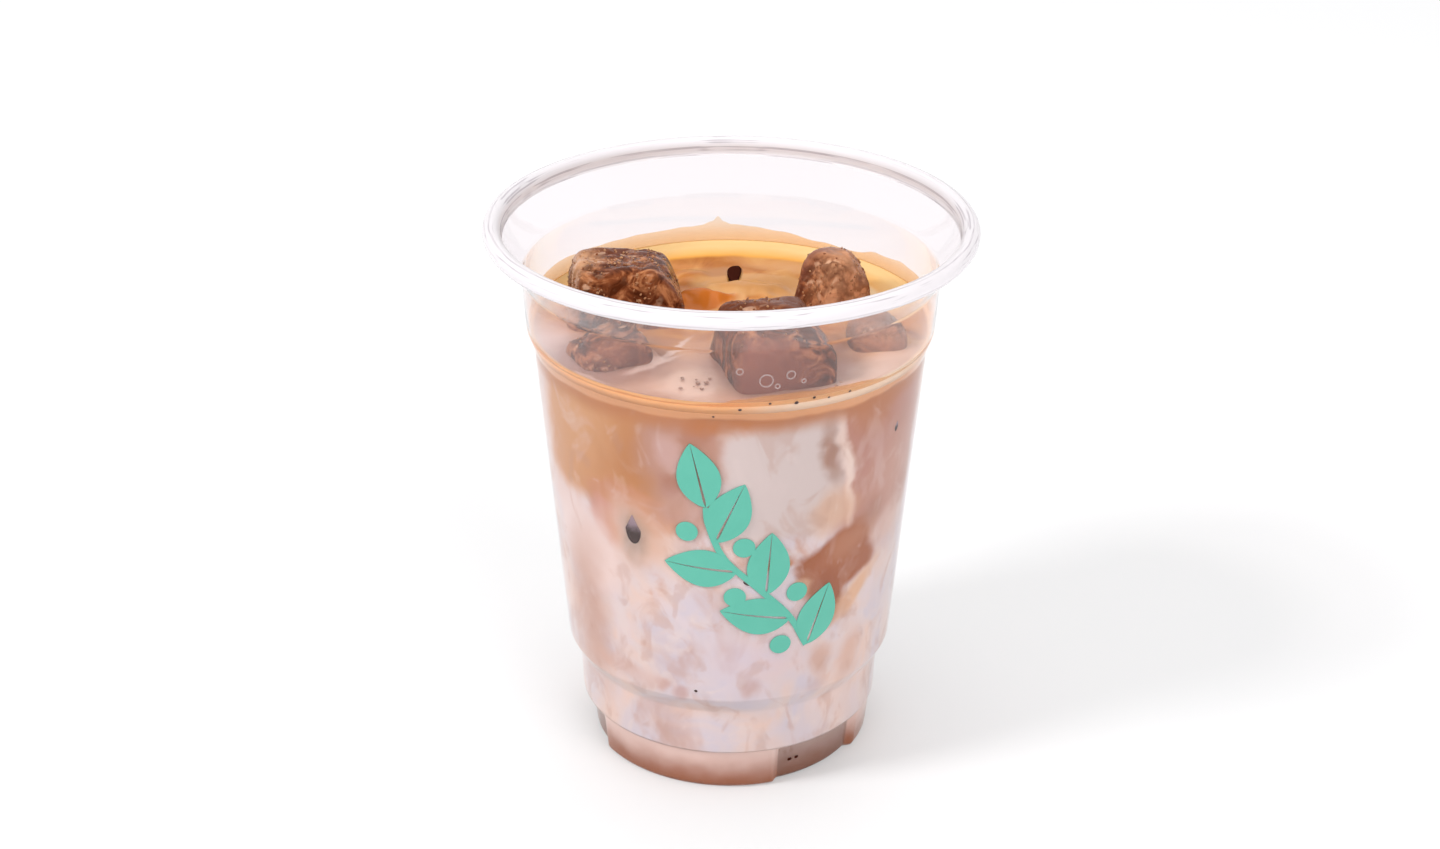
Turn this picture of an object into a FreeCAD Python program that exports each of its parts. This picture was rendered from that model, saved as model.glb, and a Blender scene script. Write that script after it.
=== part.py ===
"""Iced latte in its clear plastic cup.

The cup is thermoformed: one thin wall that follows a stepped outline, three
hollow feet pressed into its base ring, and a lip curled outwards. It stands
on Z = 0 with its axis on Z. The latte fills it to a stated depth below the
rim, under a thin layer of crema, and five pieces of ice stand out of it.
Heights are measured up from the table and depths down from the rim, so the
plain tapered wall takes up any change of the overall height.
"""
import FreeCAD
import Part

import math
import os
from collections import namedtuple

# ---------------------------------------------------------------- dimensions
# All sizes are in millimetres and all angles in degrees.

# Overall
CUP_HEIGHT = 115.0          # table to the top of the curled lip
WALL = 0.5                  # thickness of the formed sheet

# Plain tapered wall, outside radii
WALL_TOP_RADIUS = 39.55     # just under the upper shoulder
WALL_BOTTOM_RADIUS = 34.05  # just over the lower shoulder

# Upper band: steps out over the wall and widens to the lip
UPPER_STEP = 1.45           # how far the upper shoulder steps out
UPPER_SHOULDER_HEIGHT = 4.1
UPPER_BAND_DRAFT = 0.7      # widening over the height of the band
CREASE_DEPTH = 10.5         # rim to the crease where the flare starts
SHOULDER_DEPTH = 21.6       # rim to the top of the upper shoulder
FLARE_REACH = 4.2           # crease to the root of the lip
FLARE_HEIGHT = 7.3
LIP_RADIUS = 1.8            # outside radius of the curled lip's section
LIP_SWEEP = 305.0           # how far round the sheet is curled

# Lower band: steps in under the wall
LOWER_STEP = 2.4            # how far the lower shoulder steps in
LOWER_SHOULDER_HEIGHT = 4.1
LOWER_BAND_DRAFT = 0.35
LOWER_BAND_HEIGHT = 10.2

# Base ring with its three feet
FOOT_HEIGHT = 9.5
FOOT_STEP = 0.55            # lower band to the face of a foot
FOOT_DRAFT = 0.95           # narrowing of a foot towards the table
FOOT_COUNT = 3
FOOT_GAP_SPAN = 41.0        # angle of the recess between two feet
FIRST_GAP_BEARING = -50.0   # direction of the middle of the first recess
FOOT_GAP_DEPTH = 1.6        # recess behind the face of a foot
FOOT_GAP_LIFT = 0.9         # recess above the table
RING_WIDTH = 4.2            # flat ring that the feet stand on
PUNT_HEIGHT = 4.0           # raised middle of the base
PUNT_DRAFT = 1.2

# Drink
FILL_DEPTH = 22.1           # rim to the surface of the drink
CREMA_THICKNESS = 1.8
DRINK_GAP = 0.1             # drink to the inside of the cup

# Ice: tapered blocks with melted edges
ICE_TAPER = 2.2             # how much narrower each side is at the top
ICE_ROUNDING = 3.2
ICE_WALL_GAP = 0.6          # least distance from ice to the cup

# width, depth, height: the block's own size
# bearing: direction from the cup's axis; inset: block's middle to the wall
# rise: block's top above the drink; turn, lean, tip: how it has settled
Ice = namedtuple("Ice", "width depth height bearing inset rise turn lean tip")
ICE = {
    "ice_back_left": Ice(27.5, 24.0, 26.0, 168.0, 18.2, 11.4, 8.0, 2.0, -5.0),
    "ice_front_left": Ice(19.0, 18.5, 22.0, 216.5, 11.8, 6.0, 24.0, -7.0, 6.0),
    "ice_front_centre": Ice(24.0, 27.0, 27.0, 290.5, 17.2, 11.0, 16.0, 3.0, 3.0),
    "ice_back_right": Ice(16.5, 17.0, 25.0, 23.0, 17.8, 11.4, 38.0, 9.0, -6.0),
    "ice_front_right": Ice(15.5, 17.0, 22.0, 342.0, 10.6, 5.4, 6.0, 4.0, 3.0),
}

# ------------------------------------------------------------ derived values
CREASE_Z = CUP_HEIGHT - CREASE_DEPTH
UPPER_SHOULDER_TOP = CUP_HEIGHT - SHOULDER_DEPTH
UPPER_SHOULDER_BASE = UPPER_SHOULDER_TOP - UPPER_SHOULDER_HEIGHT
LOWER_BAND_TOP = FOOT_HEIGHT + LOWER_BAND_HEIGHT
LOWER_SHOULDER_TOP = LOWER_BAND_TOP + LOWER_SHOULDER_HEIGHT
DRINK_LEVEL = CUP_HEIGHT - FILL_DEPTH

UPPER_BAND_RADIUS = WALL_TOP_RADIUS + UPPER_STEP
CREASE_RADIUS = UPPER_BAND_RADIUS + UPPER_BAND_DRAFT
LIP_ROOT_RADIUS = CREASE_RADIUS + FLARE_REACH
LIP_CENTRE_RADIUS = LIP_ROOT_RADIUS - WALL + LIP_RADIUS
LIP_CENTRE_Z = CUP_HEIGHT - LIP_RADIUS

LOWER_BAND_RADIUS = WALL_BOTTOM_RADIUS - LOWER_STEP
LOWER_BAND_BASE_RADIUS = LOWER_BAND_RADIUS - LOWER_BAND_DRAFT
FOOT_TOP_RADIUS = LOWER_BAND_BASE_RADIUS - FOOT_STEP
FOOT_BASE_RADIUS = FOOT_TOP_RADIUS - FOOT_DRAFT
PUNT_BASE_RADIUS = FOOT_BASE_RADIUS - RING_WIDTH
PUNT_TOP_RADIUS = PUNT_BASE_RADIUS - PUNT_DRAFT

BEYOND = 2.0                # how far a cutting tool runs past what it cuts
UP = FreeCAD.Vector(0, 0, 1)
ORIGIN = FreeCAD.Vector(0, 0, 0)

# The outside of the cup in section, from the axis round the base and up to
# the root of the lip: radius, height, and the rounding of that corner.
OUTLINE = [
    (0.0, PUNT_HEIGHT, 0.0),
    (PUNT_TOP_RADIUS, PUNT_HEIGHT, 1.2),
    (PUNT_BASE_RADIUS, 0.0, 0.9),
    (FOOT_BASE_RADIUS, 0.0, 1.3),
    (FOOT_TOP_RADIUS, FOOT_HEIGHT, 0.0),
    (LOWER_BAND_BASE_RADIUS, FOOT_HEIGHT, 0.0),
    (LOWER_BAND_RADIUS, LOWER_BAND_TOP, 1.8),
    (WALL_BOTTOM_RADIUS, LOWER_SHOULDER_TOP, 1.8),
    (WALL_TOP_RADIUS, UPPER_SHOULDER_BASE, 2.5),
    (UPPER_BAND_RADIUS, UPPER_SHOULDER_TOP, 2.5),
    (CREASE_RADIUS, CREASE_Z, 2.0),
    (LIP_ROOT_RADIUS, CREASE_Z + FLARE_HEIGHT, 2.4),
    (LIP_ROOT_RADIUS, LIP_CENTRE_Z, 0.0),
]


# --------------------------------------------------------------- 2D outlines
def direction(a, b):
    """Unit vector from corner a to corner b."""
    length = math.hypot(b[0] - a[0], b[1] - a[1])
    return ((b[0] - a[0]) / length, (b[1] - a[1]) / length)


def inset_outline(outline, inset):
    """The outline moved inwards by inset, its roundings kept concentric."""
    moved = []
    for i, (radius, height, rounding) in enumerate(outline):
        before = direction(outline[max(i - 1, 0)], outline[max(i, 1)])
        last = len(outline) - 1
        after = direction(outline[min(i, last - 1)], outline[min(i + 1, last)])
        # the inside of the cup lies to the left of the way round the outline
        across = (-before[1] - after[1], before[0] + after[0])
        scale = inset / (1 + before[0] * after[0] + before[1] * after[1])
        turn = before[0] * after[1] - before[1] * after[0]
        if rounding:
            rounding += inset if turn < 0 else -inset
        moved.append((radius + across[0] * scale, height + across[1] * scale,
                      max(rounding, 0.0)))
    return moved


def in_section(radius, height):
    """A point of the section that is turned about the cup's axis."""
    return FreeCAD.Vector(radius, 0, height)


def outline_edges(outline):
    """Straight runs and tangent arcs along the outline."""
    edges = []
    here = in_section(*outline[0][:2])
    for before, corner, after in zip(outline, outline[1:], outline[2:]):
        way_in, way_out = direction(before, corner), direction(corner, after)
        half_turn = math.acos(way_in[0] * way_out[0] + way_in[1] * way_out[1]) / 2
        reach = corner[2] * math.tan(half_turn)
        if reach < 1e-3:
            there = in_section(corner[0], corner[1])
            edges.append(Part.LineSegment(here, there).toShape())
            here = there
            continue
        start = in_section(corner[0] - way_in[0] * reach, corner[1] - way_in[1] * reach)
        end = in_section(corner[0] + way_out[0] * reach, corner[1] + way_out[1] * reach)
        towards = FreeCAD.Vector(way_out[0] - way_in[0], 0, way_out[1] - way_in[1])
        towards.normalize()
        middle = in_section(corner[0], corner[1])
        middle += towards * corner[2] * (1 / math.cos(half_turn) - 1)
        edges.append(Part.LineSegment(here, start).toShape())
        edges.append(Part.Arc(start, middle, end).toShape())
        here = end
    edges.append(Part.LineSegment(here, in_section(*outline[-1][:2])).toShape())
    return edges


def turned(edges):
    """Solid made by turning a closed section about the cup's axis."""
    return Part.Face(Part.Wire(edges)).revolve(ORIGIN, UP, 360)


# ------------------------------------------------------------------- the cup
def foot_gaps(inset):
    """The recesses between the feet, grown by inset on every side."""
    recess_radius = FOOT_TOP_RADIUS - FOOT_GAP_DEPTH - inset
    past_the_cup = WALL_BOTTOM_RADIUS + BEYOND
    section = Part.makePolygon([in_section(*corner) for corner in (
        (PUNT_TOP_RADIUS / 2, -BEYOND),
        (past_the_cup, -BEYOND),
        (past_the_cup, FOOT_HEIGHT + inset),
        (recess_radius, FOOT_HEIGHT + inset),
        (recess_radius - FOOT_DRAFT, FOOT_GAP_LIFT + inset),
        (PUNT_TOP_RADIUS / 2, FOOT_GAP_LIFT + inset),
        (PUNT_TOP_RADIUS / 2, -BEYOND),
    )])
    margin = math.degrees(math.asin(inset / recess_radius))
    span = FOOT_GAP_SPAN + 2 * margin
    gaps = []
    for number in range(FOOT_COUNT):
        gap = Part.Face(section).revolve(ORIGIN, UP, span)
        middle = FIRST_GAP_BEARING + number * 360 / FOOT_COUNT
        gap.rotate(ORIGIN, UP, middle - span / 2)
        gaps.append(gap)
    return gaps


def cup_form(inset):
    """Everything inside the cup's outside face moved inwards by inset."""
    outline = inset_outline(OUTLINE, inset)
    bottom, top = outline[0], outline[-1]
    edges = outline_edges(outline)
    edges.append(Part.LineSegment(in_section(*top[:2]), in_section(0, top[1])).toShape())
    edges.append(Part.LineSegment(in_section(0, top[1]), in_section(*bottom[:2])).toShape())
    form = turned(edges)
    for gap in foot_gaps(inset):
        form = form.cut(gap)
    return form


def curled_lip():
    """The sheet curled outwards and down from the top of the flare."""
    def on_curl(radius, swept):
        angle = math.radians(180 - swept)
        return in_section(LIP_CENTRE_RADIUS + radius * math.cos(angle),
                          LIP_CENTRE_Z + radius * math.sin(angle))

    def arc(radius):
        return Part.Arc(on_curl(radius, 0), on_curl(radius, LIP_SWEEP / 2),
                        on_curl(radius, LIP_SWEEP)).toShape()

    def cap(swept):
        return Part.LineSegment(on_curl(LIP_RADIUS, swept),
                                on_curl(LIP_RADIUS - WALL, swept)).toShape()

    return turned([arc(LIP_RADIUS), cap(LIP_SWEEP), arc(LIP_RADIUS - WALL), cap(0)])


def make_cup():
    """The formed sheet: outside form less inside form, with its curled lip."""
    shell = cup_form(0).cut(cup_form(WALL))
    return shell.fuse(curled_lip()).removeSplitter()


# ------------------------------------------------------------- ice and drink
def inner_radius_at_level():
    """Inside radius of the cup at the surface of the drink."""
    for low, high in zip(OUTLINE[1:], OUTLINE[2:]):
        if low[1] <= DRINK_LEVEL < high[1]:
            share = (DRINK_LEVEL - low[1]) / (high[1] - low[1])
            return low[0] + share * (high[0] - low[0]) - WALL
    return UPPER_BAND_RADIUS - WALL


def ice_block(ice):
    """Tapered block with melted edges, standing on the origin."""
    def rectangle(narrower, height):
        x, y = ice.width / 2 - narrower, ice.depth / 2 - narrower
        corners = [(-x, -y), (x, -y), (x, y), (-x, y), (-x, -y)]
        return Part.makePolygon([FreeCAD.Vector(a, b, height) for a, b in corners])

    block = Part.makeLoft([rectangle(0, 0), rectangle(ICE_TAPER, ice.height)], True, True)
    return block.makeFillet(ICE_ROUNDING, block.Edges)


def place_ice(ice):
    """The block where it has settled in the drink."""
    block = ice_block(ice)
    middle = FreeCAD.Vector(0, 0, ice.height / 2)
    settle = FreeCAD.Rotation(ice.turn, ice.lean, ice.tip)
    distance = inner_radius_at_level() - ice.inset
    bearing = math.radians(ice.bearing)
    where = FreeCAD.Vector(distance * math.cos(bearing), distance * math.sin(bearing),
                           DRINK_LEVEL + ice.rise - ice.height / 2)
    block.Placement = FreeCAD.Placement(where - middle, settle, middle)
    return block


def one_piece(shape):
    """The largest solid of a shape that a cut may have left in bits."""
    return max(shape.Solids, key=lambda solid: solid.Volume)


def make_ice():
    """Every piece of ice, clear of the cup and melted flush to those before it."""
    room = cup_form(WALL + ICE_WALL_GAP)
    pieces = {}
    for name, ice in ICE.items():
        block = place_ice(ice)
        if block.cut(room).Volume > 0:
            block = one_piece(block.common(room))
        for other in pieces.values():
            if block.common(other).Volume > 0:
                block = one_piece(block.cut(other))
        pieces[name] = block
    return pieces


def drink_layer(bottom, top, pieces):
    """The drink between two heights, cut round the ice."""
    slab = Part.makeCylinder(LIP_CENTRE_RADIUS + BEYOND, top - bottom,
                             FreeCAD.Vector(0, 0, bottom))
    layer = cup_form(WALL + DRINK_GAP).common(slab)
    for piece in pieces.values():
        layer = layer.cut(piece)
    return one_piece(layer)


def main():
    os.makedirs("parts", exist_ok=True)
    ice = make_ice()
    crema_base = DRINK_LEVEL - CREMA_THICKNESS
    nodes = {
        "cup": make_cup(),
        "latte": drink_layer(0, crema_base, ice),
        "crema": drink_layer(crema_base, DRINK_LEVEL, ice),
    }
    nodes.update(ice)
    for name, shape in nodes.items():
        box = shape.optimalBoundingBox(False)
        print(f"{name}: {len(shape.Solids)} solid, valid {shape.isValid()},"
              f" {shape.Volume / 1000:.2f} cm3, z {box.ZMin:.2f} to {box.ZMax:.2f}")
        shape.exportStep(f"parts/{name}.step")


main()
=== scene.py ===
"""Looks of an iced latte in a clear plastic cup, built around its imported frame.

Sizes in the classes are in millimetres and bearings in degrees round the cup, 0 at the front and
rising to the right. Meshes are made in metres, in the frame of the CAD part.
"""

import logging
import math
from dataclasses import dataclass
from enum import Enum
from functools import partial
from typing import Any, Callable, Iterable, Sequence

import bmesh
import bpy
from mathutils import Matrix, Vector, noise


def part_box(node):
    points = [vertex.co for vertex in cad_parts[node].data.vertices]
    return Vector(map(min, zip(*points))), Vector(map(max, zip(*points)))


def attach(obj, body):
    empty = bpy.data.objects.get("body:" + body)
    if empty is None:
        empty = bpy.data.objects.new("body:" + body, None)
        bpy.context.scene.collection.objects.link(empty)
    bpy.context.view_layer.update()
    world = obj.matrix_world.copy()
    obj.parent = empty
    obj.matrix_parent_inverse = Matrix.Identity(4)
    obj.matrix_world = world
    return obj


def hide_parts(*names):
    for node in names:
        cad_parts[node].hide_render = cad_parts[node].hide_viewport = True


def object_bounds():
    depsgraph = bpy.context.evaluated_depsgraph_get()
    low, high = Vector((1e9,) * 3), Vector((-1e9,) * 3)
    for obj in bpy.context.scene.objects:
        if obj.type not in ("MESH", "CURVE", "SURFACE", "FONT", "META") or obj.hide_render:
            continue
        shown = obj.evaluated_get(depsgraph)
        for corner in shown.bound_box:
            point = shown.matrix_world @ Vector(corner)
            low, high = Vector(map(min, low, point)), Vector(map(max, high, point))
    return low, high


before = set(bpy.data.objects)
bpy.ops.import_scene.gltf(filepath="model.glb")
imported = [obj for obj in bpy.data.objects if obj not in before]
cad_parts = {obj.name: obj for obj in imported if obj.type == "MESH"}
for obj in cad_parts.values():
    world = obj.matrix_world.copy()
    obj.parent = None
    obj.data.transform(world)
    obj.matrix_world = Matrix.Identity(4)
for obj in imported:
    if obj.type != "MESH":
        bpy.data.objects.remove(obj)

CAD_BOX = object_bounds()
MM = 0.001  # metres in a millimetre
SEAM = 2e-6  # metres within which points are one
WALL_RADIUS = 37.0  # of the unrolled wall that swirls lie on
CORNER_ROUNDING = 0.35  # of a block patch, as a share of its half size
LOG = logging.getLogger("iced_latte")
MATH, VECTOR, RANGE = "ShaderNodeMath", "ShaderNodeVectorMath", "ShaderNodeMapRange"
NOISE, SPLIT = "ShaderNodeTexNoise", "ShaderNodeSeparateXYZ"
Colour = tuple[float, float, float, float]
Point = tuple[float, float]
Tree, Object, Mesh, Material = bpy.types.NodeTree, bpy.types.Object, bpy.types.Mesh, bpy.types.Material
Work, Vert = bmesh.types.BMesh, bmesh.types.BMVert


# ---------------------------------------------------------------- small tools


def linear(code: str) -> Colour:
    """Turns an sRGB hex colour to the linear colour that shaders take.

    Args:
        code: the colour as "#RRGGBB".

    Returns:
        Red, green and blue in linear light, and alpha 1.
    """
    parts = [int(code[i:i + 2], 16) / 255 for i in (1, 3, 5)]
    light = [p / 12.92 if p <= 0.04045 else ((p + 0.055) / 1.055) ** 2.4 for p in parts]
    return (light[0], light[1], light[2], 1.0)


def add_node(tree: Tree, kind: str, inputs: dict | tuple = (), **settings: Any) -> Any:
    """Adds a node with its settings, constants and links.

    Args:
        tree: the tree that gets the node.
        kind: the node's type name.
        inputs: what each input takes, in order or by its name or number: a constant, an sRGB hex
            colour, a socket, a node that feeds it by its first output, or a list of such nodes.
        settings: properties of the node itself.

    Returns:
        The new node.
    """
    node = tree.nodes.new(kind)
    for name, value in settings.items():
        setattr(node, name, value)
    for key, value in inputs.items() if isinstance(inputs, dict) else enumerate(inputs):
        for source in value if isinstance(value, list) else [value]:
            if isinstance(source, bpy.types.Node):
                source = source.outputs[0]
            if isinstance(source, bpy.types.NodeSocket):
                tree.links.new(source, node.inputs[key])
            else:
                coded = isinstance(source, str) and source.startswith("#")
                node.inputs[key].default_value = linear(source) if coded else source
    return node


def smooth_step(low: float, high: float, value: float) -> float:
    """Returns 0 below low, 1 above high, and an even S-curve between them."""
    t = min(1.0, max(0.0, (value - low) / (high - low)))
    return t * t * (3 - 2 * t)


def scene_object(name: str, data: bpy.types.ID) -> Object:
    """Links a new object with this data to the scene and returns it."""
    made = bpy.data.objects.new(name, data)
    bpy.context.scene.collection.objects.link(made)
    return made


def mesh_of(work: Work, name: str) -> Mesh:
    """Ends a mesh in work and returns it as a mesh of this name."""
    data = bpy.data.meshes.new(name)
    work.to_mesh(data)
    work.free()
    return data


def skin(work: Work, rows: Sequence[Sequence[Vert]], loop: bool = True) -> None:
    """Joins rows of vertices with faces.

    Args:
        work: the mesh in work.
        rows: the rows in order. A row of one vertex is a tip.
        loop: whether each row runs round and meets its own start.
    """
    for near, far in zip(rows, rows[1:]):
        count = max(len(near), len(far))
        for k in range(count if loop else count - 1):
            after = (k + 1) % count
            corners = ((near, k), (far, k), (far, after), (near, after))
            work.faces.new(list(dict.fromkeys(row[i % len(row)] for row, i in corners)))


def cup_point(turn: float, radius: float, height: float) -> Vector:
    """Returns a place in metres from its turn round the cup in radians, its radius and its height."""
    return Vector((radius * math.sin(turn), -radius * math.cos(turn), height)) * MM


def outward(data: Mesh) -> None:
    """Turns a closed mesh's faces outwards."""
    work = bmesh.new()
    work.from_mesh(data)
    bmesh.ops.recalc_face_normals(work, faces=work.faces)
    if work.calc_volume(signed=True) < 0:
        bmesh.ops.reverse_faces(work, faces=work.faces)
    work.to_mesh(data)
    work.free()


def closed_piece(work: Work, name: str, material: Material) -> Object:
    """Makes a smooth object of a closed mesh in work.

    Args:
        work: the mesh in work. It is freed.
        name: the new object's name.
        material: its material.

    Returns:
        The new object, its faces outwards.
    """
    data = mesh_of(work, name)
    outward(data)
    data.shade_smooth()
    data.materials.append(material)
    return scene_object(name, data)


def add_lens(work: Work, rings: int, segments: int,
             place: Callable[[float, float, float], tuple[Vector, float]]) -> None:
    """Adds a closed lens of two domes that share their edge.

    Args:
        work: the mesh that it is added to.
        rings: rings from the middle to the edge.
        segments: faces round.
        place: gives a point in metres and its "rise" from an angle, a share of the way to the edge
            and a swell that is 1 or -1 in the middle and 0 at the edge.
    """
    rise = work.verts.layers.float.get("rise") or work.verts.layers.float.new("rise")
    rim: list[list[Vert]] = []
    for side in (1, -1):
        rows = []
        for ring in range(rings + (not rim)):
            share = ring / rings
            row = []
            for k in range(segments if ring else 1):
                spot, value = place(math.tau * k / segments, share, side * math.sqrt(1 - share * share))
                vert = work.verts.new(spot)
                vert[rise] = value
                row.append(vert)
            rows.append(row)
        skin(work, rows + rim)
        rim = rows[-1:]


def settle(piece: Object, replaced: Sequence[str] = ()) -> Object:
    """Attaches a finished piece to the root body and hides the CAD nodes that it stands for.

    Args:
        piece: the finished mesh object.
        replaced: names of the CAD nodes that it replaces.

    Returns:
        The same piece.
    """
    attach(piece, "root")
    if replaced:
        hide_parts(*replaced)
    LOG.info("%s: %d vertices, %d faces", piece.name, len(piece.data.vertices), len(piece.data.polygons))
    return piece


def applied(carrier: Object, tree: Tree, values: dict, name: str) -> Object:
    """Runs a Geometry Nodes tree on an object and keeps its result as a plain mesh.

    Args:
        carrier: the object whose geometry goes in. It is removed.
        tree: the tree.
        values: the tree's named inputs and their values.
        name: the new object's name.

    Returns:
        The new mesh object.
    """
    modifier = carrier.modifiers.new(tree.name, "NODES")
    modifier.node_group = tree
    for item in tree.interface.items_tree:
        if item.item_type == "SOCKET" and item.in_out == "INPUT" and item.name in values:
            modifier[item.identifier] = values[item.name]
    bpy.context.view_layer.update()
    evaluated = carrier.evaluated_get(bpy.context.evaluated_depsgraph_get())
    data = bpy.data.meshes.new_from_object(evaluated)
    carrier.modifiers.remove(modifier)
    spent = carrier.data
    bpy.data.objects.remove(carrier)
    bpy.data.meshes.remove(spent)
    data.name = name
    kept = [material for material in data.materials if material]
    data.materials.clear()
    for material in kept:
        data.materials.append(material)
    data.polygons.foreach_set("material_index", [0] * len(data.polygons))
    return scene_object(name, data)


def new_tree(name: str, sockets: Iterable[tuple[str, str]]) -> tuple[Tree, Any]:
    """Starts a Geometry Nodes tree with named inputs and one geometry output.

    Args:
        name: the tree's name.
        sockets: name and socket type of each input after the geometry.

    Returns:
        The tree and its group input node.
    """
    tree = bpy.data.node_groups.new(name, "GeometryNodeTree")
    tree.interface.new_socket("Geometry", in_out="INPUT", socket_type="NodeSocketGeometry")
    for title, kind in sockets:
        tree.interface.new_socket(title, in_out="INPUT", socket_type=kind)
    tree.interface.new_socket("Geometry", in_out="OUTPUT", socket_type="NodeSocketGeometry")
    return tree, tree.nodes.new("NodeGroupInput")


def end_tree(tree: Tree, geometry: Any, material: Any) -> None:
    """Ends a tree in Realize Instances and Set Material."""
    real = add_node(tree, "GeometryNodeRealizeInstances", {"Geometry": geometry})
    dressed = add_node(tree, "GeometryNodeSetMaterial", {"Geometry": real, "Material": material})
    add_node(tree, "NodeGroupOutput", (dressed,))


# ---------------------------------------------------------------- the cup's outline


@dataclass(frozen=True)
class Corner:
    """A corner of the cup's outside outline: its radius, height and rounding."""

    radius: float
    height: float
    rounding: float = 0.0


@dataclass(frozen=True)
class CupShape:
    """The outline that the cup's wall and the drink inside it share."""

    wall: float = 0.5
    lip_radius: float = 1.8
    lip_sweep: float = 305.0
    longest_run: float = 1.6
    arc_step: float = 9.0
    corners: tuple[Corner, ...] = (
        Corner(0.0, 4.0),
        Corner(24.4, 4.0, 1.2),
        Corner(25.6, 0.0, 0.9),
        Corner(29.8, 0.0, 1.3),
        Corner(30.75, 9.5, 0.22),
        Corner(31.3, 9.5, 0.3),
        Corner(31.65, 19.7, 1.8),
        Corner(34.05, 23.8, 1.8),
        Corner(39.55, 89.3, 2.5),
        Corner(41.0, 93.4, 2.5),
        Corner(41.7, 104.5, 2.0),
        Corner(45.9, 111.8, 2.4),
        Corner(45.9, 113.2),
    )

    def outside(self) -> list[Vector]:
        """Returns the outside outline, from the axis up to the brim, with its corners rounded."""
        line: list[Vector] = [Vector((self.corners[0].radius, self.corners[0].height))]
        for before, here, after in zip(self.corners, self.corners[1:], self.corners[2:]):
            a, b, c = (Vector((k.radius, k.height)) for k in (before, here, after))
            into, out = (a - b).normalized(), (c - b).normalized()
            half = math.acos(max(-1.0, min(1.0, into.dot(out)))) / 2
            reach = here.rounding / math.tan(half)
            centre = b + (into + out).normalized() * (here.rounding / math.sin(half))
            start, end = b + into * reach - centre, b + out * reach - centre
            turn = math.atan2(start.x * end.y - start.y * end.x, start.dot(end))
            count = max(2, round(abs(math.degrees(turn)) / self.arc_step))
            arc = [centre + Matrix.Rotation(turn * i / count, 2) @ start for i in range(count + 1)]
            self._run(line, arc[0])
            line.extend(arc[1:])
        self._run(line, Vector((self.corners[-1].radius, self.corners[-1].height)))
        return line

    def _run(self, line: list[Vector], end: Vector) -> None:
        """Adds a straight run to the line in even pieces."""
        start = line[-1]
        count = max(1, math.ceil((end - start).length / self.longest_run))
        line.extend(start.lerp(end, i / count) for i in range(1, count + 1))

    def inset(self, line: Sequence[Vector], depth: float) -> list[Vector]:
        """Moves an outline inwards by a depth.

        Args:
            line: the outline, from the axis outwards and up.
            depth: how far, in millimetres.

        Returns:
            The inner outline, its first point on the axis.
        """
        moved = []
        for i, here in enumerate(line):
            run = line[min(i + 1, len(line) - 1)] - line[max(i - 1, 0)]
            moved.append(here + Vector((-run.y, run.x)).normalized() * depth)
        moved[0].x = 0.0
        return moved

    def curled(self, radius: float) -> list[Vector]:
        """Returns the lip's curl at one radius round its centre, from the wall outwards and down."""
        centre = Vector((self.corners[-1].radius + self.lip_radius - self.wall, self.corners[-1].height))
        count = 40
        angles = [math.radians(180 - self.lip_sweep * i / count) for i in range(1, count + 1)]
        return [centre + Vector((math.cos(a), math.sin(a))) * radius for a in angles]

    def section(self) -> list[Vector]:
        """Returns the wall's closed section: the inside up, round the curl, and the outside down."""
        outside = self.outside()
        inside = self.inset(outside, self.wall) + self.curled(self.lip_radius)
        outside = outside + self.curled(self.lip_radius - self.wall)
        end, other = inside[-1], outside[-1]
        middle, half = (end + other) / 2, (end - other) / 2
        cap = [middle + Matrix.Rotation(math.pi * i / 6, 2) @ half for i in range(1, 6)]
        return inside + cap + outside[::-1]

    def contents(self, level: float, into_wall: float) -> list[Vector]:
        """Returns the outline of what fills the cup up to a level, just inside the wall.

        Args:
            level: the height that it is filled to.
            into_wall: how far it reaches into the wall.

        Returns:
            The outline from the axis below to the wall at that level.
        """
        inner = self.inset(self.outside(), self.wall - into_wall)
        kept = [p for p in inner if p.y < level]
        following = inner[len(kept)]
        share = (level - kept[-1].y) / (following.y - kept[-1].y)
        return kept + [kept[-1].lerp(following, share)]

    def radius_at(self, height: float, depth: float = 0.0) -> float:
        """Returns the wall's outside radius at a height, less a depth."""
        for low, high in zip(self.corners[3:], self.corners[4:]):
            if low.height <= height <= high.height and high.height > low.height:
                share = (height - low.height) / (high.height - low.height)
                return low.radius + (high.radius - low.radius) * share - depth
        return self.corners[-1].radius - depth


@dataclass(frozen=True)
class FootShape:
    """The three pressed recesses that part the foot into three lugs."""

    count: int = 3
    first_bearing: float = 40.0
    span: float = 41.0
    edge: float = 2.6
    depth: float = 1.3
    height: float = 9.5
    fade: float = 0.3
    ring_inner: float = 24.4
    ring_outer: float = 29.0


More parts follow.
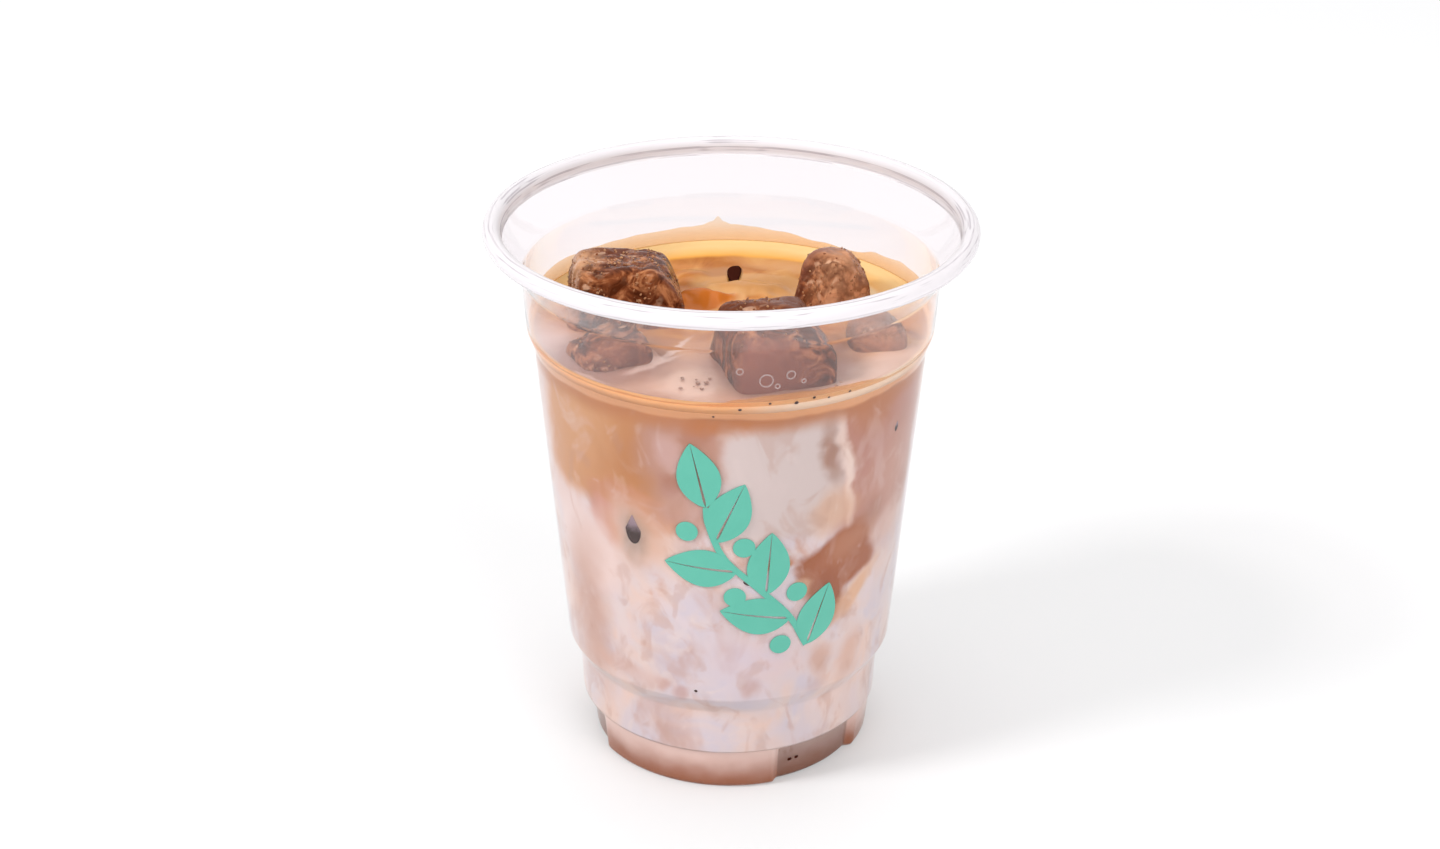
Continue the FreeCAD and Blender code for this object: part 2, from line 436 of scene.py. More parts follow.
@dataclass
class TurnedForm:
    """Turns an outline about the cup's axis with Geometry Nodes and presses in the foot's recesses."""

    foot: FootShape
    segments: int

    def _build(self) -> Tree:
        """Builds the tree.

        Returns:
            A tree whose Geometry input is a mesh of outline points, radius along X and height along Z.
        """
        lengths = ("Column Turn", "First Recess", "Half Pitch", "Recess Outer", "Recess Inner",
                   "Recess Push", "Foot Top", "Foot Fade", "Ring Inner", "Ring Outer")
        tree, given = new_tree("turned_form", [
            ("Columns", "NodeSocketInt"), *((name, "NodeSocketFloat") for name in lengths),
            ("Material", "NodeSocketMaterial")])
        size = add_node(tree, "GeometryNodeAttributeDomainSize", (given,))
        points = size.outputs["Point Count"]
        grid = add_node(tree, "GeometryNodeMeshGrid", {
            "Size X": 1.0, "Size Y": 1.0, "Vertices X": given.outputs["Columns"], "Vertices Y": points})
        index = add_node(tree, "GeometryNodeInputIndex")
        middle = add_node(tree, MATH, (index, 0.5), operation="ADD")
        ratio = add_node(tree, MATH, (middle, points), operation="DIVIDE")
        column = add_node(tree, MATH, (ratio,), operation="FLOOR")
        row = add_node(tree, MATH, (index, points), operation="FLOORED_MODULO")
        outline = add_node(tree, "GeometryNodeSampleIndex", {
            "Geometry": given, "Value": add_node(tree, "GeometryNodeInputPosition"), "Index": row},
            data_type="FLOAT_VECTOR", domain="POINT")
        place = add_node(tree, SPLIT, (outline,))
        radius, height = place.outputs["X"], place.outputs["Z"]
        angle = add_node(tree, MATH, (column, given.outputs["Column Turn"]), operation="MULTIPLY")
        past = add_node(tree, MATH, (angle, given.outputs["First Recess"]), operation="SUBTRACT")
        away = add_node(tree, MATH, (past, given.outputs["Half Pitch"]), operation="PINGPONG")
        share = 1.0
        for value, start, full in (
                (away, "Recess Outer", "Recess Inner"), (height, "Foot Top", "Foot Fade"),
                (radius, "Ring Inner", "Ring Outer")):
            part = add_node(tree, RANGE, {
                0: value, 1: given.outputs[start], 2: given.outputs[full]},
                interpolation_type="SMOOTHSTEP")
            share = add_node(tree, MATH, (share, part), operation="MULTIPLY")
        pressed = add_node(tree, MATH, (share, given.outputs["Recess Push"], radius),
                           operation="MULTIPLY_ADD")
        flat = add_node(tree, "ShaderNodeCombineXYZ", {0: pressed, 2: height})
        turned = add_node(tree, "ShaderNodeVectorRotate", {"Vector": flat, "Angle": angle},
                          rotation_type="Z_AXIS")
        formed = add_node(tree, "GeometryNodeSetPosition", {"Geometry": grid, "Position": turned})
        closed = add_node(tree, "GeometryNodeMergeByDistance", {"Geometry": formed, "Distance": SEAM})
        smooth = add_node(tree, "GeometryNodeSetShadeSmooth", {"Geometry": closed})
        end_tree(tree, smooth, given.outputs["Material"])
        return tree

    def turn(self, name: str, outline: Sequence[Vector], material: Material) -> Object:
        """Turns an outline into a closed mesh.

        Args:
            name: the new object's name.
            outline: points of the outline, in millimetres, both ends on the axis.
            material: the mesh's material.

        Returns:
            The new object.
        """
        data = bpy.data.meshes.new(name + "_outline")
        data.from_pydata([(max(p.x, 0.0) * MM, 0.0, p.y * MM) for p in outline], [], [])
        foot = self.foot
        half, edge = foot.span / 2, foot.edge / 2
        values = {
            "Columns": self.segments + 1, "Column Turn": math.tau / self.segments,
            "First Recess": math.radians(foot.first_bearing - 90), "Half Pitch": math.pi / foot.count,
            "Recess Outer": math.radians(half + edge), "Recess Inner": math.radians(half - edge),
            "Recess Push": -foot.depth * MM, "Foot Top": foot.height * MM,
            "Foot Fade": (foot.height - foot.fade) * MM, "Ring Inner": foot.ring_inner * MM,
            "Ring Outer": foot.ring_outer * MM, "Material": material,
        }
        made = applied(scene_object(name + "_outline", data), self._build(), values, name)
        outward(made.data)
        return made


# ---------------------------------------------------------------- finishes


def new_material(name: str, constants: dict) -> tuple[Material, Tree, Any, Any]:
    """Starts a node material.

    Args:
        name: the material's name.
        constants: values that are set on the Principled node's own sockets.

    Returns:
        The material, its tree, its Principled node and its output node.
    """
    made = bpy.data.materials.new(name)
    made.use_nodes = True
    tree = made.node_tree
    tree.nodes.clear()
    shader = add_node(tree, "ShaderNodeBsdfPrincipled", constants)
    output = add_node(tree, "ShaderNodeOutputMaterial", {"Surface": shader})
    return made, tree, shader, output


def millimetres(tree: Tree) -> Any:
    """Returns the Object coordinates in millimetres."""
    where = add_node(tree, "ShaderNodeTexCoord")
    return add_node(tree, VECTOR, {0: where.outputs["Object"], "Scale": 1 / MM}, operation="SCALE")


def flattened(tree: Tree, spot: Any) -> Any:
    """Returns a place without its height."""
    return add_node(tree, VECTOR, (spot, (1.0, 1.0, 0.0)), operation="MULTIPLY")


def from_axis(tree: Tree, spot: Any) -> Any:
    """Returns the distance of a place from the cup's axis."""
    flat = flattened(tree, spot)
    return add_node(tree, VECTOR, (flat,), operation="LENGTH").outputs["Value"]


def wavy_height(tree: Tree, spot: Any, size: float, detail: float, reach: float) -> Any:
    """Returns a place's height, moved up and down by noise.

    Args:
        tree: the material's tree.
        spot: the place, in millimetres.
        size: the size of the noise's waves.
        detail: its detail.
        reach: how far it moves the height.
    """
    waves = add_node(tree, NOISE, {"Vector": spot, "Scale": 1 / size, "Detail": detail})
    lift = add_node(tree, MATH, (waves, 2 * reach, -reach), operation="MULTIPLY_ADD")
    height = add_node(tree, SPLIT, (spot,)).outputs["Z"]
    return add_node(tree, MATH, (height, lift), operation="ADD")


def bumped(tree: Tree, shader: Any, height: Any, strength: float, distance: float = MM) -> None:
    """Gives a shader's surface small bumps of this height pattern, strength and depth in metres."""
    bump = add_node(tree, "ShaderNodeBump", {
        "Height": height, "Strength": strength, "Distance": distance})
    tree.links.new(bump.outputs[0], shader.inputs["Normal"])


def laid_over(tree: Tree, under: Any, tone: Any, value: Any, start: float = 0.0,
              full: float = 1.0, strength: float = 1.0, smooth: bool = False) -> Any:
    """Lays a tone over a colour by how far a value has run from its start to where it is full.

    Args:
        tree: the material's tree.
        under: the colour beneath.
        tone: the colour on top.
        value: what decides.
        start: the value at which the tone begins.
        full: the value at which it has its whole strength.
        strength: how much of what is beneath it then covers.
        smooth: whether it comes in along an S-curve.

    Returns:
        The new colour.
    """
    share = add_node(tree, RANGE, {0: value, 1: start, 2: full, 4: strength},
                     interpolation_type="SMOOTHSTEP" if smooth else "LINEAR")
    return add_node(tree, "ShaderNodeMix", {0: share, 6: under, 7: tone}, data_type="RGBA").outputs[2]


def clouds(tree: Tree, spot: Any, grain: dict, tones: Sequence[tuple[float, str]]) -> tuple[Any, Any]:
    """Paints clouds of three tones.

    Args:
        tree: the material's tree.
        spot: the place, in millimetres.
        grain: inputs of the noise that makes them.
        tones: the noise's value and the colour of the lowest, middle and highest tone.

    Returns:
        The noise and the colour.
    """
    flow = add_node(tree, NOISE, {"Vector": spot, **grain})
    ramp = add_node(tree, "ShaderNodeValToRGB", (flow,))
    stops = ramp.color_ramp.elements
    for stop, (position, code) in zip(stops, (tones[0], tones[2])):
        stop.position, stop.color = position, linear(code)
    stops.new(tones[1][0]).color = linear(tones[1][1])
    return flow, ramp.outputs[0]


def pushed_about(tree: Tree, place: Any, spot: Any, size: float, reach: float,
                 distortion: float = 0.0) -> Any:
    """Moves a flat place about by noise.

    Args:
        tree: the material's tree.
        place: the place that is moved.
        spot: where the noise is read, in millimetres.
        size: the size of its waves.
        reach: how far it moves the place.
        distortion: how much the waves curl.

    Returns:
        The moved place.
    """
    waves = add_node(tree, NOISE, {
        "Vector": spot, "Scale": 1 / size, "Detail": 2.0, "Distortion": distortion})
    centred = add_node(tree, VECTOR, (waves.outputs["Color"], (0.5, 0.5, 0.5)), operation="SUBTRACT")
    push = add_node(tree, VECTOR, (centred, (2 * reach, 2 * reach, 0.0)), operation="MULTIPLY")
    return add_node(tree, VECTOR, (place, push), operation="ADD")


@dataclass(frozen=True)
class ClearPlastic:
    """Thermoformed PET sheet: glossy, faintly milky from forming, with slow ripples in its gloss."""

    tint: str = "#FBF6F8"
    clarity: float = 0.985
    roughness: float = 0.035
    ior: float = 1.5
    shade: str = "#F4F0F1"
    ripple_mm: float = 14.0
    ripple_strength: float = 0.05

    def make(self) -> Material:
        """Builds the material, which lets lamps through so that the drink is lit inside it."""
        made, tree, shader, output = new_material("clear_pet_sheet", {
            "Base Color": self.tint, "Roughness": self.roughness, "IOR": self.ior,
            "Transmission Weight": self.clarity})
        ripples = add_node(tree, NOISE, {
            "Vector": millimetres(tree), "Scale": 1 / self.ripple_mm, "Detail": 1.0})
        bumped(tree, shader, ripples, self.ripple_strength)
        passing = add_node(tree, "ShaderNodeBsdfTransparent", {"Color": self.shade})
        lamps = add_node(tree, "ShaderNodeLightPath")
        mixed = add_node(tree, "ShaderNodeMixShader", (lamps.outputs["Is Shadow Ray"], shader, passing))
        tree.links.new(mixed.outputs[0], output.inputs["Surface"])
        return made


@dataclass(frozen=True)
class RolledLip:
    """The PET sheet's rolled lip, drawn as a milky white bead with fine grey streaks round it: painted
    reflections that stand in for the light that the clear curl bends and mirrors.
    """

    # The lip's white and its grey streaks are painted reflections of the clear curl.
    white: str = "#F8F3F6"
    reflection_streak: str = "#C6BDC4"
    cover: float = 0.8
    roughness: float = 0.16
    around_mm: float = 26.0
    across_mm: float = 0.55
    drift_mm: float = 3.0
    streaks: tuple[float, ...] = (0.54, 0.68, 0.85)

    def make(self) -> Material:
        """Builds the material."""
        made, tree, shader, _ = new_material("rolled_pet_lip", {
            "Roughness": self.roughness, "Alpha": self.cover})
        spot = millimetres(tree)
        slow = add_node(tree, NOISE, {"Vector": flattened(tree, spot), "Scale": 1 / self.around_mm})
        drift = add_node(tree, MATH, (slow, self.drift_mm), operation="MULTIPLY")
        height = add_node(tree, SPLIT, (spot,)).outputs["Z"]
        place = add_node(tree, "ShaderNodeCombineXYZ", (from_axis(tree, spot), drift, height))
        lines = add_node(tree, NOISE, {"Vector": place, "Scale": 1 / self.across_mm, "Detail": 1.0})
        # The grey streaks laid over the white: painted reflection lines.
        tone = laid_over(tree, self.white, self.reflection_streak, lines, *self.streaks)
        tree.links.new(tone, shader.inputs["Base Color"])
        return made


class Edge(Enum):
    """How a swirl's outline runs: a round cloud, or a block with upright sides."""

    CLOUD = "cloud"
    BLOCK = "block"


@dataclass(frozen=True)
class Patch:
    """A soft-edged patch of colour on a flat plane, in millimetres, turned by degrees."""

    colour: str
    x: float
    y: float
    half_width: float
    half_height: float
    turn: float = 0.0
    softness: float = 0.3
    strength: float = 1.0
    edge: Edge = Edge.CLOUD

    def paint(self, tree: Tree, flat: Any, under: Any) -> Any:
        """Lays the patch over the colour beneath.

        Args:
            tree: the material's tree.
            flat: the place on the plane.
            under: the colour so far.

        Returns:
            The new colour.
        """
        own = add_node(tree, "ShaderNodeMapping", {
            "Vector": flat, "Location": (self.x, self.y, 0.0),
            "Rotation": (0.0, 0.0, math.radians(self.turn)),
            "Scale": (self.half_width, self.half_height, 1.0)}, vector_type="TEXTURE")
        if self.edge is Edge.CLOUD:
            reach = add_node(tree, VECTOR, (own,), operation="LENGTH")
            away = reach.outputs["Value"]
        else:
            size = add_node(tree, VECTOR, (own,), operation="ABSOLUTE")
            sides = add_node(tree, SPLIT, (size,))
            away = add_node(tree, MATH, (sides.outputs["X"], sides.outputs["Y"], CORNER_ROUNDING),
                            operation="SMOOTH_MAX")
        return laid_over(tree, under, self.colour, away, 1 + self.softness, 1 - self.softness,
                         self.strength, smooth=True)


def swirl(colour: str, bearing: float, height: float, half_width: float, half_height: float,
          lean: float = 0.0, softness: float = 0.3, strength: float = 1.0,
          edge: Edge = Edge.CLOUD) -> Patch:
    """Places a patch of the marbling on the unrolled wall.

    Args:
        colour: its sRGB hex colour.
        bearing: where it lies round the cup, in degrees.
        height: its height above the table.
        half_width: half its width round the wall.
        half_height: half its height.
        lean: how far it leans, in degrees.
        softness: how wide its edge fades, as a share of its size.
        strength: how much of what is beneath it covers.
        edge: how its outline runs.

    Returns:
        The patch.
    """
    across = math.radians(bearing) * WALL_RADIUS
    return Patch(colour, across, height, half_width, half_height, lean, softness, strength, edge)


@dataclass(frozen=True)
class Wisp:
    """Ragged streaks of one tone all round the drink, where an upright noise is above a level."""

    colour: str
    size_mm: float
    tall: float
    level: float
    blur: float
    strength: float
    shift: float

    def paint(self, tree: Tree, spot: Any, under: Any) -> Any:
        """Lays the streaks over the colour beneath.

        Args:
            tree: the material's tree.
            spot: the place, in millimetres.
            under: the colour so far.

        Returns:
            The new colour.
        """
        own = add_node(tree, "ShaderNodeMapping", {
            "Vector": spot, "Location": (self.shift, self.shift, self.shift),
            "Scale": (1 / self.size_mm, 1 / self.size_mm, 1 / (self.size_mm * self.tall))})
        waves = add_node(tree, NOISE, {
            "Vector": own, "Scale": 1.0, "Detail": 3.5, "Roughness": 0.52, "Distortion": 0.9})
        return laid_over(tree, under, self.colour, waves, self.level, self.level + self.blur,
                         self.strength, smooth=True)


@dataclass(frozen=True)
class Marbling:
    """Espresso poured over milk: milk below, coffee clouds above, with wisps where they meet, and painted
    shade and highlights in a few places.
    """

    milk: str = "#EDDFDC"
    milk_cool: str = "#E4DCE2"
    milk_warm: str = "#F5DDD0"
    coffee: str = "#D99B71"
    coarse_mm: float = 13.0
    coarse_reach: float = 3.2
    fine_mm: float = 3.2
    fine_reach: float = 0.9
    foot_top: str = "#F2D9CE"
    foot_low: str = "#AD6538"
    # painted shade in the recesses under the foot's arches
    foot_recess_shade: str = "#693A1F"
    foot_high: float = 9.7
    foot_radius: float = 28.75
    foot_slope: float = 0.1
    ground_mm: float = 15.0
    haze_mm: float = 11.0
    rim_shade: str = "#C78147"
    rim_line: str = "#EDB27C"
    rim_low: float = 85.0
    rim_high: float = 89.0
    rim_edge: float = 0.9
    wisps: tuple[Wisp, ...] = (
        Wisp("#EFE3E5", 11.0, 1.2, 0.52, 0.14, 0.5, 2.0),
        Wisp("#CFA08A", 13.0, 1.5, 0.53, 0.20, 0.5, 7.0),
        Wisp("#F3E6E0", 6.0, 1.3, 0.57, 0.10, 0.45, 11.0),
        Wisp("#D6AC97", 6.0, 1.6, 0.57, 0.14, 0.4, 23.0),
    )
    veils: tuple[Wisp, ...] = (
        Wisp("#F0E2DF", 10.0, 1.4, 0.54, 0.16, 0.24, 37.0),
        Wisp("#C8977C", 8.0, 1.3, 0.56, 0.10, 0.28, 53.0),
        Wisp("#F6E9E3", 5.0, 1.5, 0.58, 0.12, 0.16, 61.0),
    )
    roughness: float = 0.35
    swirls: tuple[Patch, ...] = (
        # the pinkish strip at the left, and the coffee cloud under the crema
        swirl("#EED6CD", -66, 74, 7, 16, softness=0.5),
        swirl("#DBA065", -39, 80, 18.0, 15, lean=-6, softness=0.16, edge=Edge.BLOCK),
        swirl("#C88645", -29, 79, 8, 8, softness=0.9, strength=0.85),
        swirl("#E3B383", -48, 84, 8, 9, softness=0.9, strength=0.6),
        swirl("#D89B71", -31, 67, 11, 5.2, lean=-8, softness=0.25),
        swirl("#DCA28F", -41, 62, 4.5, 5.5, lean=18, softness=0.3),
        swirl("#E9C2A7", -30, 61, 8, 7, softness=0.6, strength=0.8),
        # painted shade round the air pocket at -30 degrees
        swirl("#BCA493", -30, 61.0, 2.7, 4.6, softness=0.9, strength=0.9),
        swirl("#F6E4DE", -56, 56, 8.0, 9.5, softness=0.5),
        swirl("#F7E3DB", -46, 51, 8.0, 7.5, lean=-20, softness=0.5),
        # the mauve cloud in the middle
        swirl("#CD9E88", -14, 81, 8.5, 9.5, softness=0.35),
        swirl("#D9B4A9", -17, 82, 3.0, 3.4, softness=0.5),
        swirl("#C0886F", -16, 75, 3.4, 2.6, lean=-20, softness=0.6),
        swirl("#C58D71", -9, 86, 2.2, 4.0, softness=0.6),
        swirl("#D2A99A", -13, 69, 6.5, 5.0, lean=-25, softness=0.5, strength=0.8),
        # coffee under the crema and at the right
        swirl("#CE8139", 6, 89.5, 11, 4.6, lean=3, softness=0.3),
        swirl("#D9945C", 24, 90, 14, 4.2, softness=0.35),
        swirl("#CB9481", 54, 79, 13, 19, softness=0.18, edge=Edge.BLOCK),
        swirl("#CA8A62", 47, 88, 6, 6, softness=0.6),
        swirl("#D9AD9B", 57, 70, 7, 8, softness=0.7, strength=0.8),
        swirl("#C08D79", 50, 61, 3.6, 3.6, softness=0.6),
        swirl("#E4C2B3", 58, 56, 7, 6, softness=0.7, strength=0.7),
        # the pale cube under the surface, with painted shade just inside its right edge and a painted
        # highlight along that edge
        swirl("#E5D8D3", 17, 75, 12, 13, lean=3, softness=0.16, edge=Edge.BLOCK),
        swirl("#BA917D", 31, 79.5, 2.0, 6.5, lean=6, softness=0.7),
        swirl("#F9E6DA", 36.8, 74, 1.1, 14.5, lean=8, softness=0.8),
        swirl("#E9C09E", 33, 66, 5, 4.5, softness=0.6, strength=0.7),
        # the brown patch at the right and its small neighbours
        swirl("#B56732", 36, 53.5, 8.8, 6.4, lean=20, softness=0.16, edge=Edge.BLOCK),
        swirl("#C98A62", 40, 57, 5.5, 3.2, lean=24, softness=0.8, strength=0.8),
        swirl("#B0612E", 33, 46, 3.6, 6.0, lean=8, softness=0.25),
        swirl("#D28856", 15, 56, 2.6, 2.0, softness=0.4),
        swirl("#EEC39B", 44, 45, 7.0, 2.4, lean=38, softness=0.5, strength=0.9),
        swirl("#ECC5A2", 24, 49.5, 1.8, 2.6, lean=-30, softness=0.5),
        # the lower left and the drips over the lower shoulder
        swirl("#D8AE99", -54, 38, 6, 16, softness=0.8, strength=0.85),
        swirl("#E3BDAC", -40, 27.5, 9, 2.2, lean=-4, softness=0.8, strength=0.6),
        swirl("#D6B3AC", -17, 24.6, 1.6, 2.0, softness=0.6, strength=0.8),
        swirl("#DAB5A9", -23, 26.4, 1.3, 1.5, softness=0.7, strength=0.7),
        swirl("#D6B3A9", 8, 26.0, 2.2, 1.9, softness=0.7, strength=0.8),
        swirl("#DEB59E", 33, 31.5, 2.6, 3.4, lean=15, softness=0.6, strength=0.8),
        swirl("#E6BEA7", 46, 30, 3.0, 6.0, softness=0.8, strength=0.7),
        swirl("#E7DCE7", 10, 34, 9, 6, softness=1.0, strength=0.6),
        # the far side, where more clouds hang under the crema
        swirl("#D99967", -112, 80, 20, 12, lean=8, softness=0.3),
        swirl("#C88867", -128, 64, 8, 10, lean=-20, softness=0.4),
        swirl("#BA7147", -92, 55, 6, 5, lean=30, softness=0.25),
        swirl("#E9C0A5", -100, 44, 10, 6, lean=-30, softness=0.8, strength=0.8),
        swirl("#D59669", 104, 82, 18, 10, lean=-6, softness=0.3),
        swirl("#E3D2D4", 86, 64, 9, 11, softness=0.2, edge=Edge.BLOCK),
        swirl("#C0764A", 128, 60, 7, 8, lean=24, softness=0.3),
        swirl("#EBC5AC", 118, 42, 10, 6, lean=20, softness=0.8, strength=0.8),
        swirl("#DDA47F", 158, 79, 14, 11, softness=0.3),
        swirl("#E4BA9E", -158, 74, 12, 12, softness=0.4),
    )

    def make(self) -> Material:
        """Builds the material: a cloudy ground, then each swirl over it."""
        made, tree, shader, _ = new_material("iced_latte_drink", {"Specular IOR Level": 0.12})
        spot = millimetres(tree)
        colour = self._ground(tree, spot)
        flat = self._on_wall(tree, spot)
        for layers, place in ((self.wisps, spot), (self.swirls, flat), (self.veils, spot)):
            for layer in layers:
                colour = layer.paint(tree, place, colour)
        colour = self._rim_line(tree, spot, colour)
        colour = self._foot_tone(tree, spot, colour)
        tree.links.new(colour, shader.inputs["Base Color"])
        grain = add_node(tree, NOISE, {"Vector": spot, "Scale": 0.6, "Detail": 2.0})
        rough = add_node(tree, RANGE, {0: grain, 3: self.roughness - 0.06, 4: self.roughness + 0.06})
        tree.links.new(rough.outputs[0], shader.inputs["Roughness"])
        return made

    def _ground(self, tree: Tree, spot: Any) -> Any:
        """Returns the colour of the cloudy drink where no swirl lies."""
        _, ground = clouds(tree, spot, {"Scale": 1 / self.ground_mm, "Detail": 3.0, "Distortion": 1.2}, (
            (0.34, self.milk_cool), (0.50, self.milk), (0.70, self.milk_warm)))
        aside = add_node(tree, VECTOR, (spot, (0.0, 40.0, 0.0)), operation="ADD")
        haze = add_node(tree, NOISE, {
            "Vector": aside, "Scale": 1 / self.haze_mm, "Detail": 4.0, "Roughness": 0.55,
            "Distortion": 1.6})
        height = add_node(tree, SPLIT, (spot,)).outputs["Z"]
        rise = add_node(tree, RANGE, {0: height, 1: 20.0, 2: 95.0, 3: -0.24, 4: 0.2})
        amount = add_node(tree, MATH, (haze, rise), operation="ADD")
        return laid_over(tree, ground, self.coffee, amount, 0.46, 0.70, 0.55, smooth=True)

    def _on_wall(self, tree: Tree, spot: Any) -> Any:
        """Returns the place on the unrolled wall, way round by height, pushed about by noise."""
        parts = add_node(tree, SPLIT, (spot,))
        back = add_node(tree, MATH, (parts.outputs["Y"], -1.0), operation="MULTIPLY")
        angle = add_node(tree, MATH, (parts.outputs["X"], back), operation="ARCTAN2")
        across = add_node(tree, MATH, (angle, WALL_RADIUS), operation="MULTIPLY")
        place = add_node(tree, "ShaderNodeCombineXYZ", (across, parts.outputs["Z"]))
        for size, reach in ((self.coarse_mm, self.coarse_reach), (self.fine_mm, self.fine_reach)):
            place = pushed_about(tree, place, spot, size, reach, distortion=0.5)
        return place

    def _rim_line(self, tree: Tree, spot: Any, under: Any) -> Any:
        """Adds the bright coffee line where the crema meets the wall, with its shade beneath."""
        level = wavy_height(tree, spot, 9.0, 2.0, 1.2)
        shaded = laid_over(tree, under, self.rim_shade, level, self.rim_low, self.rim_high, 0.75,
                           smooth=True)
        return laid_over(tree, shaded, self.rim_line, level, self.rim_high,
                         self.rim_high + self.rim_edge, smooth=True)

    def _foot_tone(self, tree: Tree, spot: Any, under: Any) -> Any:
        """Darkens the drink to brown in the foot, darker towards the bottom, with painted shade in its
        recesses.
        """
        height = add_node(tree, SPLIT, (spot,)).outputs["Z"]
        wall = add_node(tree, MATH, (height, self.foot_slope, self.foot_radius), operation="MULTIPLY_ADD")
        pressed = add_node(tree, MATH, (wall, from_axis(tree, spot)), operation="SUBTRACT")
        level = wavy_height(tree, spot, 6.0, 3.0, 2.0)
        tone = laid_over(tree, self.foot_top, self.foot_low, level, 9.0, 0.6, smooth=True)
        # painted shade in the foot's recesses
        deep = laid_over(tree, tone, self.foot_recess_shade, pressed, 0.2, 0.7, 0.85)
        return laid_over(tree, under, deep, height, self.foot_high, self.foot_high - 0.5)


@dataclass(frozen=True)
class CremaFinish:
    """Thin espresso crema over milk: amber, glossy and wet, with paler foam where it thins."""

    amber: str = "#C87E39"
    deep: str = "#A95E22"
    foam: str = "#DDA158"
    pale: str = "#DDB29C"
    line: str = "#F8BB7C"
    cream: str = "#FFEBD2"
    gold: str = "#F7B04E"
    pale_gold: str = "#FFD798"
    roughness: float = 0.2
    warp_mm: float = 6.0
    warp_reach: float = 1.6
    line_from: float = 39.2
    line_full: float = 40.0
    film_from: float = 32.6
    film_full: float = 34.6
    film_wall: float = 38.5
    patches: tuple[Patch, ...] = (
        # sunken ice under the crema: pale outline, then amber or tan inside
        Patch("#E6B078", -6.5, 9.5, 10.0, 5.4, 14.0, softness=0.12),
        Patch("#C96C16", -7.0, 8.4, 8.6, 4.3, 14.0, softness=0.22),
        Patch("#DAA468", 4.5, 17.5, 12.5, 6.0, -6.0, softness=0.15, strength=0.7),
        Patch("#C68A4E", 5.5, 17.0, 10.5, 4.6, -6.0, softness=0.5, strength=0.8),
        Patch("#B98154", -4.0, 24.5, 5.5, 2.2, 10.0, softness=0.5, strength=0.8),
        Patch("#C98F66", -25.0, 14.0, 6.0, 7.0, 20.0, softness=0.5, strength=0.7),
        Patch("#FFDAA6", 29.0, 13.0, 9.0, 10.0, softness=0.6, strength=0.9),
        Patch("#E0A468", 14.0, 27.0, 14.0, 3.5, -24.0, softness=0.6, strength=0.7),
        # milky foam by the front wall, painted shade round the front ice, and painted highlight lines
        # beside the front-left ice
        Patch("#DFBFB5", -34.0, -16.0, 8.0, 14.0, 28.0, softness=0.6, strength=0.9),
        Patch("#F0CAB2", -6.5, -30.0, 6.5, 6.0, 30.0, softness=0.4, strength=0.9),
        Patch("#E3BFAA", 24.0, -27.0, 15.0, 4.0, 48.0, softness=0.5, strength=0.9),
        Patch("#8C5C50", 9.5, -22.0, 15.0, 13.5, 16.0, softness=0.35, strength=0.7),
        Patch("#96685A", -23.5, -20.0, 13.0, 12.0, 24.0, softness=0.3, strength=0.65),
        # thin painted highlight lines round the front-left ice
        Patch("#EBCBBB", -15.0, -22.0, 6.0, 1.0, 40.0, softness=0.5, strength=0.8),
        Patch("#EBCBBB", -11.0, -15.0, 7.0, 0.7, 65.0, softness=0.5, strength=0.8),
        Patch("#E9C3AE", -29.0, -27.0, 7.0, 0.9, -38.0, softness=0.5, strength=0.7),
    )

    def make(self) -> Material:
        """Builds the material."""
        made, tree, shader, _ = new_material("espresso_crema", {
            "Roughness": self.roughness, "IOR": 1.34, "Specular IOR Level": 0.3})
        spot = millimetres(tree)
        flow, ground = clouds(tree, spot, {
            "Scale": 1 / 12, "Detail": 4.0, "Roughness": 0.55, "Distortion": 1.4},
            ((0.30, self.deep), (0.50, self.amber), (0.72, self.foam)))
        parts = add_node(tree, SPLIT, (spot,))
        front = add_node(tree, MATH, (parts.outputs["Y"], 0.35, flow), operation="MULTIPLY_ADD")
        colour = laid_over(tree, ground, self.pale, front, -1.5, -7.0, 0.75, smooth=True)
        moved = pushed_about(tree, spot, spot, self.warp_mm, self.warp_reach)
        flat = flattened(tree, moved)
        for patch in self.patches:
            colour = patch.paint(tree, flat, colour)
        colour = self._wall_line(tree, spot, colour)
        tree.links.new(colour, shader.inputs["Base Color"])
        fine = add_node(tree, NOISE, {"Vector": spot, "Scale": 0.8, "Detail": 3.0})
        bumped(tree, shader, fine, 0.12, 0.4 * MM)
        return made

    def _wall_line(self, tree: Tree, spot: Any, under: Any) -> Any:
        """Adds the crema's line along the wall, orange then cream, and the golden film at the back."""
        parts = add_node(tree, SPLIT, (spot,))
        radius = from_axis(tree, spot)
        side = add_node(tree, RANGE, {0: parts.outputs["X"], 1: -2.0, 2: 14.0, 4: 0.85},
                        interpolation_type="SMOOTHSTEP")
        front = add_node(tree, RANGE, {0: parts.outputs["Y"], 1: -14.0, 2: -24.0})
        right = add_node(tree, MATH, (side, front), operation="MULTIPLY")
        tone = laid_over(tree, self.line, self.cream, right)
        lined = laid_over(tree, under, tone, radius, self.line_from, self.line_full, smooth=True)
        thin = add_node(tree, RANGE, {0: radius, 1: self.film_from, 2: self.film_full},
                        interpolation_type="SMOOTHSTEP")
        back = add_node(tree, RANGE, {0: parts.outputs["Y"], 1: 4.0, 2: 20.0})
        reach = add_node(tree, MATH, (thin, back), operation="MULTIPLY")
        film = laid_over(tree, self.gold, self.pale_gold, radius, 34.0, self.film_wall)
        return laid_over(tree, lined, film, reach)


